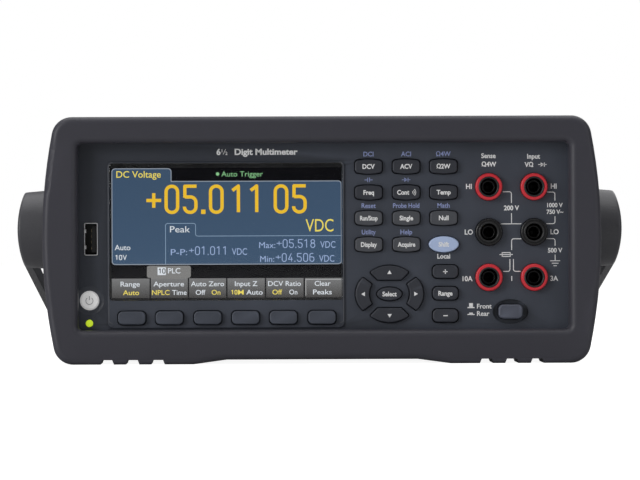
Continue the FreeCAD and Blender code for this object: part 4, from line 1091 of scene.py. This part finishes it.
class MULTIMETER_OT_power_controls(bpy.types.Operator):
    """Finish the power button with its mark, the lamp and the selector button"""
    bl_idname = "multimeter.power_controls"
    bl_label = "Power and selector"

    def execute(self, context):
        # Painted light: the power button is no lamp, and its glow makes it read whiter.
        dress("power_button", lamp_and_painted_glow_plastic("power button", (0.72, 0.72, 0.72), (0.5, 0.5, 0.5), 0.5))
        dress("power_led", lamp_and_painted_glow_plastic("power lamp", (0.50, 0.85, 0.05), (0.50, 0.60, 0.02), 0.8))
        x, _, z = middle("power_button")
        ink = Ink(low("power_button")[1] - INK_LIFT)
        ink.arc(x, z - 0.1 * MM, 1.5 * MM, 0.3 * MM, 125, 415, 26)
        ink.rect(x - 0.16 * MM, z + 0.2 * MM, x + 0.16 * MM, z + 1.9 * MM)
        ink.piece("power_mark", printed_ink("grey print", (0.42, 0.43, 0.44)), body="power_button")
        selector = moulding("selector button", tint(colours().key_dark, 2.8), 0.42, sizes().grain, 0.00002,
                            wear_and_sheen=0.8, dust=0.0)
        dress("selector_button", selector)
        return {"FINISHED"}


class MULTIMETER_OT_jacks(bpy.types.Operator):
    """Finish the jack bushes and contacts, and line each well"""
    bl_idname = "multimeter.jacks"
    bl_label = "Jacks"

    def execute(self, context):
        c = colours()
        red = moulding("red bush", c.jack_red, 0.36, 0.0005, 0.00001, wear_and_sheen=0.15, dust=0.0, contrast=0.06)
        black = moulding("black bush", c.jack_black, 0.28, 0.0005, 0.00001, wear_and_sheen=0.25, dust=0.0)
        dress("red_jack_bushes", red)
        dress("black_jack_bushes", black)
        # Painted shade: the contacts' brass is darkened to stand in for the shade deep in each bore.
        dress("jack_contacts", plated("darkened brass", (0.10, 0.085, 0.06), 0.4))
        self.liners_and_bore_shade()
        return {"FINISHED"}

    def liners_and_bore_shade(self):
        """A dark insulating liner in every well, with a collar round the contact; it runs on down the
        contact's bore to a closed dark bottom, a painted shade for the depth of the bore.
        """
        r, seat_r, collar_r, contact_r, bore_r = 3.88 * MM, 3.1 * MM, 2.9 * MM, 2.15 * MM, 1.98 * MM
        inside = r - sizes().liner_wall
        flange = r + 0.5 * MM
        builder = bmesh.new()
        tips = {-1: low("red_jack_bushes")[1], 1: high("red_jack_bushes")[1]}
        for mount in frame["record"]["mounts"]:
            if mount["kind"] != "bore":
                continue
            x, _, z = mount["pos_m"]
            side = -1 if mount["axis"][1] < 0 else 1
            y = tips[side]
            # The last points line the contact's bore and close it: a dark sheet standing in for the shade
            # deep in the bore.
            outline = ((r, 0.25), (flange, 0.25), (flange, -0.06), (inside, -0.06), (inside, 22.6),
                       (seat_r, 22.6), (seat_r, 6.6), (collar_r, 6.2), (contact_r, 6.2), (bore_r, 7.4),
                       (bore_r, 22.4), (0.02 * MM, 22.4))
            profile = [(radius, y - side * depth * MM) for radius, depth in outline]
            turned(builder, profile, x, z, 40)
        liner = moulding("jack liner", (0.012, 0.012, 0.013), 0.4, 0.0005, 0.00001, wear_and_sheen=0.0, dust=0.0)
        make_piece("jack_liners_and_bore_shade", builder, liner, smooth=True)


class MULTIMETER_OT_usb_socket(bpy.types.Operator):
    """Make the upright USB-A socket's folded shell, springs and tongue"""
    bl_idname = "multimeter.usb_socket"
    bl_label = "USB socket"

    def execute(self, context):
        a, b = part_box("front_usb_socket")
        builder = bmesh.new()
        wall, rim, fold_end = 0.32 * MM, 0.25 * MM, a[1] + 1.2 * MM
        outer = self.loop(a[0], a[2], b[0], b[2], 0.6 * MM)
        inner = self.loop(a[0] + wall, a[2] + wall, b[0] - wall, b[2] - wall, 0.4 * MM)
        self.sleeve(builder, [(outer, b[1]), (outer, a[1] + rim), (self.mixed(outer, inner, 0.3), a[1]),
                              (self.mixed(outer, inner, 0.8), a[1]), (inner, a[1] + rim), (inner, fold_end)])
        # Painted shade: a dark sheet over the shell's inside walls and across its back stands in for the
        # shade inside the socket.
        shade_lining = bmesh.new()
        self.sleeve(shade_lining, [(inner, fold_end), (inner, b[1] - 0.8 * MM)], True)
        x = (a[0] + b[0]) / 2
        for dz in (-3.4, 3.4):
            z = (a[2] + b[2]) / 2 + dz * MM
            block(builder, a[0] + wall, a[1] + 2.5 * MM, z - 0.8 * MM, a[0] + wall + 0.45 * MM, a[1] + 8 * MM,
                  z + 0.8 * MM)
        bmesh.ops.recalc_face_normals(builder, faces=builder.faces)
        tin = plated("bright tinned rim", (0.90, 0.90, 0.92), 0.3, metallic=0.05)
        shell = make_piece("usb_shell", builder, tin)
        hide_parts("front_usb_socket")
        builder = bmesh.new()
        z0, z1 = a[2] + 1.35 * MM, b[2] - 1.35 * MM
        block(builder, x + 0.25 * MM, a[1] + 1.5 * MM, z0, x + 2.1 * MM, b[1] - 0.9 * MM, z1)
        bmesh.ops.bevel(builder, geom=list(builder.edges), offset=0.2 * MM, segments=2, affect="EDGES")
        tongue = moulding("socket tongue", (0.010, 0.010, 0.011), 0.4, 0.0004, 0.00001, wear_and_sheen=0.1, dust=0.0)
        make_piece("usb_shade_lining", shade_lining, tongue)
        make_piece("usb_tongue", builder, tongue)
        builder = bmesh.new()
        for k in range(4):
            z = z0 + (1.7 + 2.5 * k) * MM
            block(builder, x + 0.16 * MM, a[1] + 2.1 * MM, z - 0.55 * MM,
                  x + 0.27 * MM, b[1] - 1.5 * MM, z + 0.55 * MM)
        make_piece("usb_contacts", builder, plated("gold-flashed brass", (0.72, 0.60, 0.36), 0.25))
        return {"FINISHED"}

    @staticmethod
    def sleeve(builder, rings, closed=False):
        """Joins rings of points, each at its own depth, and closes the last one if asked."""
        rows = [[builder.verts.new((x, y, z)) for x, z in points] for points, y in rings]
        for p, q in zip(rows, rows[1:]):
            for i in range(len(p)):
                j = (i + 1) % len(p)
                builder.faces.new([p[i], p[j], q[j], q[i]])
        if closed:
            builder.faces.new(rows[-1])
        bmesh.ops.recalc_face_normals(builder, faces=builder.faces)

    @staticmethod
    def loop(x0, z0, x1, z1, r):
        """The outline of a rectangle with round corners, as points (x, z)."""
        points = []
        for cx, cz, start in ((x0 + r, z0 + r, 180), (x1 - r, z0 + r, 270),
                              (x1 - r, z1 - r, 0), (x0 + r, z1 - r, 90)):
            for i in range(5):
                angle = math.radians(start + 22.5 * i)
                points.append((cx + r * math.cos(angle), cz + r * math.sin(angle)))
        return points

    @staticmethod
    def mixed(a, b, share):
        return [(p[0] + (q[0] - p[0]) * share, p[1] + (q[1] - p[1]) * share) for p, q in zip(a, b)]


class MULTIMETER_OT_handle(bpy.types.Operator):
    """Finish the bail handle"""
    bl_idname = "multimeter.handle"
    bl_label = "Bail handle"

    def execute(self, context):
        dress("handle", moulding("handle moulding", colours().handle, 0.42, 0.0009, 0.00008, wear_and_sheen=0.45,
                                 dust=0.05, contrast=0.28))
        return {"FINISHED"}


# Words on the rear plate: middle in mm.
REAR_WORDS = (
    ("Sense", 89.15, 84.6), ("Input", 70.1, 84.6), ("HI", 79.6, 76.6), ("LO", 79.6, 57.5), ("3A", 79.6, 37.0),
    ("Monitor", 42.0, 61.8), ("Trigger", 42.0, 38.8), ("LAN", 12.0, 33.6), ("USB", 38.0, 32.3),
    ("Line", -80.0, 17.4),
)


class MULTIMETER_OT_rear_connectors(bpy.types.Operator):
    """Finish the connectors on the rear plate and print their names"""
    bl_idname = "multimeter.rear_connectors"
    bl_label = "Rear connectors"

    def execute(self, context):
        black = moulding("black thermoplastic", (0.018, 0.018, 0.02), 0.42, 0.0006, 0.00002, dust=0.02)
        for node in ("ac_inlet", "fuse_drawer", "fan_frame", "fan_rotor"):
            dress(node, black)
        shell = plated("tinned shell", (0.74, 0.74, 0.75), 0.22)
        dress("bnc_sockets", plated("nickel plate", (0.70, 0.68, 0.64), 0.18))
        dress("lan_socket", shell)
        dress("rear_usb_socket", shell)
        self.print_names()
        return {"FINISHED"}

    def print_names(self):
        ink = Ink(high("rear_panel")[1] + INK_LIFT, 1)
        h = 2.2 * MM
        for words, x, z in REAR_WORDS:
            ink.text(words, x * MM, z * MM, h, "centre", 0.02)
        ink.piece("rear_print", printed_ink("white print", colours().legend_white), slot="cover_steel")


class MULTIMETER_OT_insides(bpy.types.Operator):
    """Finish the boards, mat, transformer and the other pieces inside"""
    bl_idname = "multimeter.insides"
    bl_label = "Insides"

    def execute(self, context):
        board = solder_mask("green board")
        dress("front_board", board)
        dress("main_board", board)
        dress("keypad_mat", moulding("grey silicone", (0.22, 0.23, 0.25), 0.55, 0.0006, 0.00001, dust=0.0))
        dress("board_components", moulding("epoxy and sleeving", (0.025, 0.025, 0.028), 0.4, 0.0005, 0.00002))
        dress("selector_switch", moulding("switch housing", (0.03, 0.03, 0.033), 0.4, 0.0005, 0.00002))
        dress("shield_can", plated("tinned screen", (0.70, 0.70, 0.71), 0.3))
        dress("transformer", moulding("lacquered core", (0.09, 0.085, 0.08), 0.5, 0.0007, 0.00004))
        dress("ribbon_cable", moulding("grey flat cable", (0.40, 0.41, 0.43), 0.45, 0.0013, 0.00008))
        return {"FINISHED"}


class MULTIMETER_OT_studio(bpy.types.Operator):
    """Set up the floor, the soft lights, the surroundings and the camera"""
    bl_idname = "multimeter.studio"
    bl_label = "Studio"

    def execute(self, context):
        scene = context.scene
        scene.view_settings.view_transform = "Standard"
        self.floor()
        self.surroundings(scene)
        stage = scene.multimeter_stage
        fill = stage.fill_power
        self.soft_light("overhead light", (0.0, 0.15, 1.5), 1.8, stage.key_power)
        self.soft_light("left light", (-1.6, -1.5, 0.6), 1.1, fill)
        self.soft_light("right light", (1.7, -1.7, 0.6), 1.1, fill * 0.22)
        self.soft_light("rear light", (0.9, 1.7, 1.0), 1.3, fill * 0.4)
        self.camera(scene, stage)
        return {"FINISHED"}

    def floor(self):
        builder = bmesh.new()
        half = 9.0
        corners = ((-half, -half), (half, -half), (half, half), (-half, half))
        builder.faces.new([builder.verts.new((x, y, 0)) for x, y in corners])
        mesh = bpy.data.meshes.new("floor")
        builder.to_mesh(mesh)
        builder.free()
        mesh.materials.append(pale_floor("pale floor"))
        ground = bpy.data.objects.new("floor", mesh)
        bpy.context.scene.collection.objects.link(ground)

    def surroundings(self, scene):
        world = bpy.data.worlds.new("studio")
        scene.world = world
        world.use_nodes = True
        background = world.node_tree.nodes["Background"]
        background.inputs["Strength"].default_value = 1.0
        tree = world.node_tree
        sight = add(tree, "LightPath")
        place = add(tree, "TexCoord")
        split = add(tree, "SeparateXYZ")
        tree.links.new(place.outputs["Generated"], split.inputs["Vector"])
        sky = tree.nodes.new("ShaderNodeMapRange")
        sky.inputs["From Min"].default_value = 0.1
        sky.inputs["To Min"].default_value = 0.04
        sky.inputs["To Max"].default_value = 0.5
        tree.links.new(split.outputs["Z"], sky.inputs["Value"])
        seen = maths(tree, "MAXIMUM", sight.outputs["Is Camera Ray"], sky.outputs["Result"])
        tree.links.new(seen, background.inputs["Color"])

    def soft_light(self, name, place, size, power):
        """A square lamp that the camera doesn't see, aimed at the middle of the object."""
        aim = (0, 0, 0.05)
        data = bpy.data.lights.new(name, "AREA")
        data.shape = "SQUARE"
        data.size = size
        data.energy = power
        lamp = bpy.data.objects.new(name, data)
        lamp.location = place
        lamp.visible_camera = False
        lamp.rotation_euler = (Vector(aim) - Vector(place)).to_track_quat("-Z", "Y").to_euler()
        bpy.context.scene.collection.objects.link(lamp)

    def camera(self, scene, stage):
        data = bpy.data.cameras.new("camera")
        data.sensor_width = 36.0
        data.lens = stage.distance / stage.lens_scale * data.sensor_width
        data.clip_start = 0.1
        data.clip_end = 60.0
        camera = bpy.data.objects.new("camera", data)
        front, top = CAD_BOX[0][1], CAD_BOX[1][2]
        aim = Vector((stage.aim, front, top / 2))
        back = Vector((-math.sin(stage.azimuth), -math.cos(stage.azimuth), 0.0))
        camera.location = aim + back * stage.distance
        turn = (-back).to_track_quat("-Z", "Y").to_matrix().to_4x4()
        tilt = Matrix.Rotation(-stage.roll, 4, "Z")
        camera.matrix_world = Matrix.Translation(camera.location) @ turn @ tilt
        scene.collection.objects.link(camera)
        scene.camera = camera


OPERATORS = (
    MULTIMETER_OT_bumpers,
    MULTIMETER_OT_case,
    MULTIMETER_OT_front_panel,
    MULTIMETER_OT_screen,
    MULTIMETER_OT_keys,
    MULTIMETER_OT_power_controls,
    MULTIMETER_OT_jacks,
    MULTIMETER_OT_usb_socket,
    MULTIMETER_OT_handle,
    MULTIMETER_OT_rear_connectors,
    MULTIMETER_OT_insides,
    MULTIMETER_OT_studio,
)


class MULTIMETER_PT_sidebar(bpy.types.Panel):
    """Lists the making steps"""
    bl_idname = "MULTIMETER_PT_sidebar"
    bl_label = "Multimeter"
    bl_space_type = "VIEW_3D"
    bl_region_type = "UI"
    bl_category = "Multimeter"

    def draw(self, context):
        for group in (context.scene.multimeter_sizes, context.scene.multimeter_colours,
                      context.scene.multimeter_stage):
            box = self.layout.box()
            for name in group.__annotations__:
                box.prop(group, name)
        for operator in OPERATORS:
            self.layout.operator(operator.bl_idname)


CLASSES = (MultimeterSizes, MultimeterColours, MultimeterStage, *OPERATORS, MULTIMETER_PT_sidebar)


def register():
    for cls in CLASSES:
        bpy.utils.register_class(cls)
    bpy.types.Scene.multimeter_sizes = bpy.props.PointerProperty(type=MultimeterSizes)
    bpy.types.Scene.multimeter_colours = bpy.props.PointerProperty(type=MultimeterColours)
    bpy.types.Scene.multimeter_stage = bpy.props.PointerProperty(type=MultimeterStage)


def unregister():
    del bpy.types.Scene.multimeter_stage
    del bpy.types.Scene.multimeter_colours
    del bpy.types.Scene.multimeter_sizes
    for cls in reversed(CLASSES):
        bpy.utils.unregister_class(cls)


def main():
    register()
    for operator in OPERATORS:
        section, step = operator.bl_idname.split(".")
        getattr(getattr(bpy.ops, section), step)()


if __name__ == "__main__":
    main()
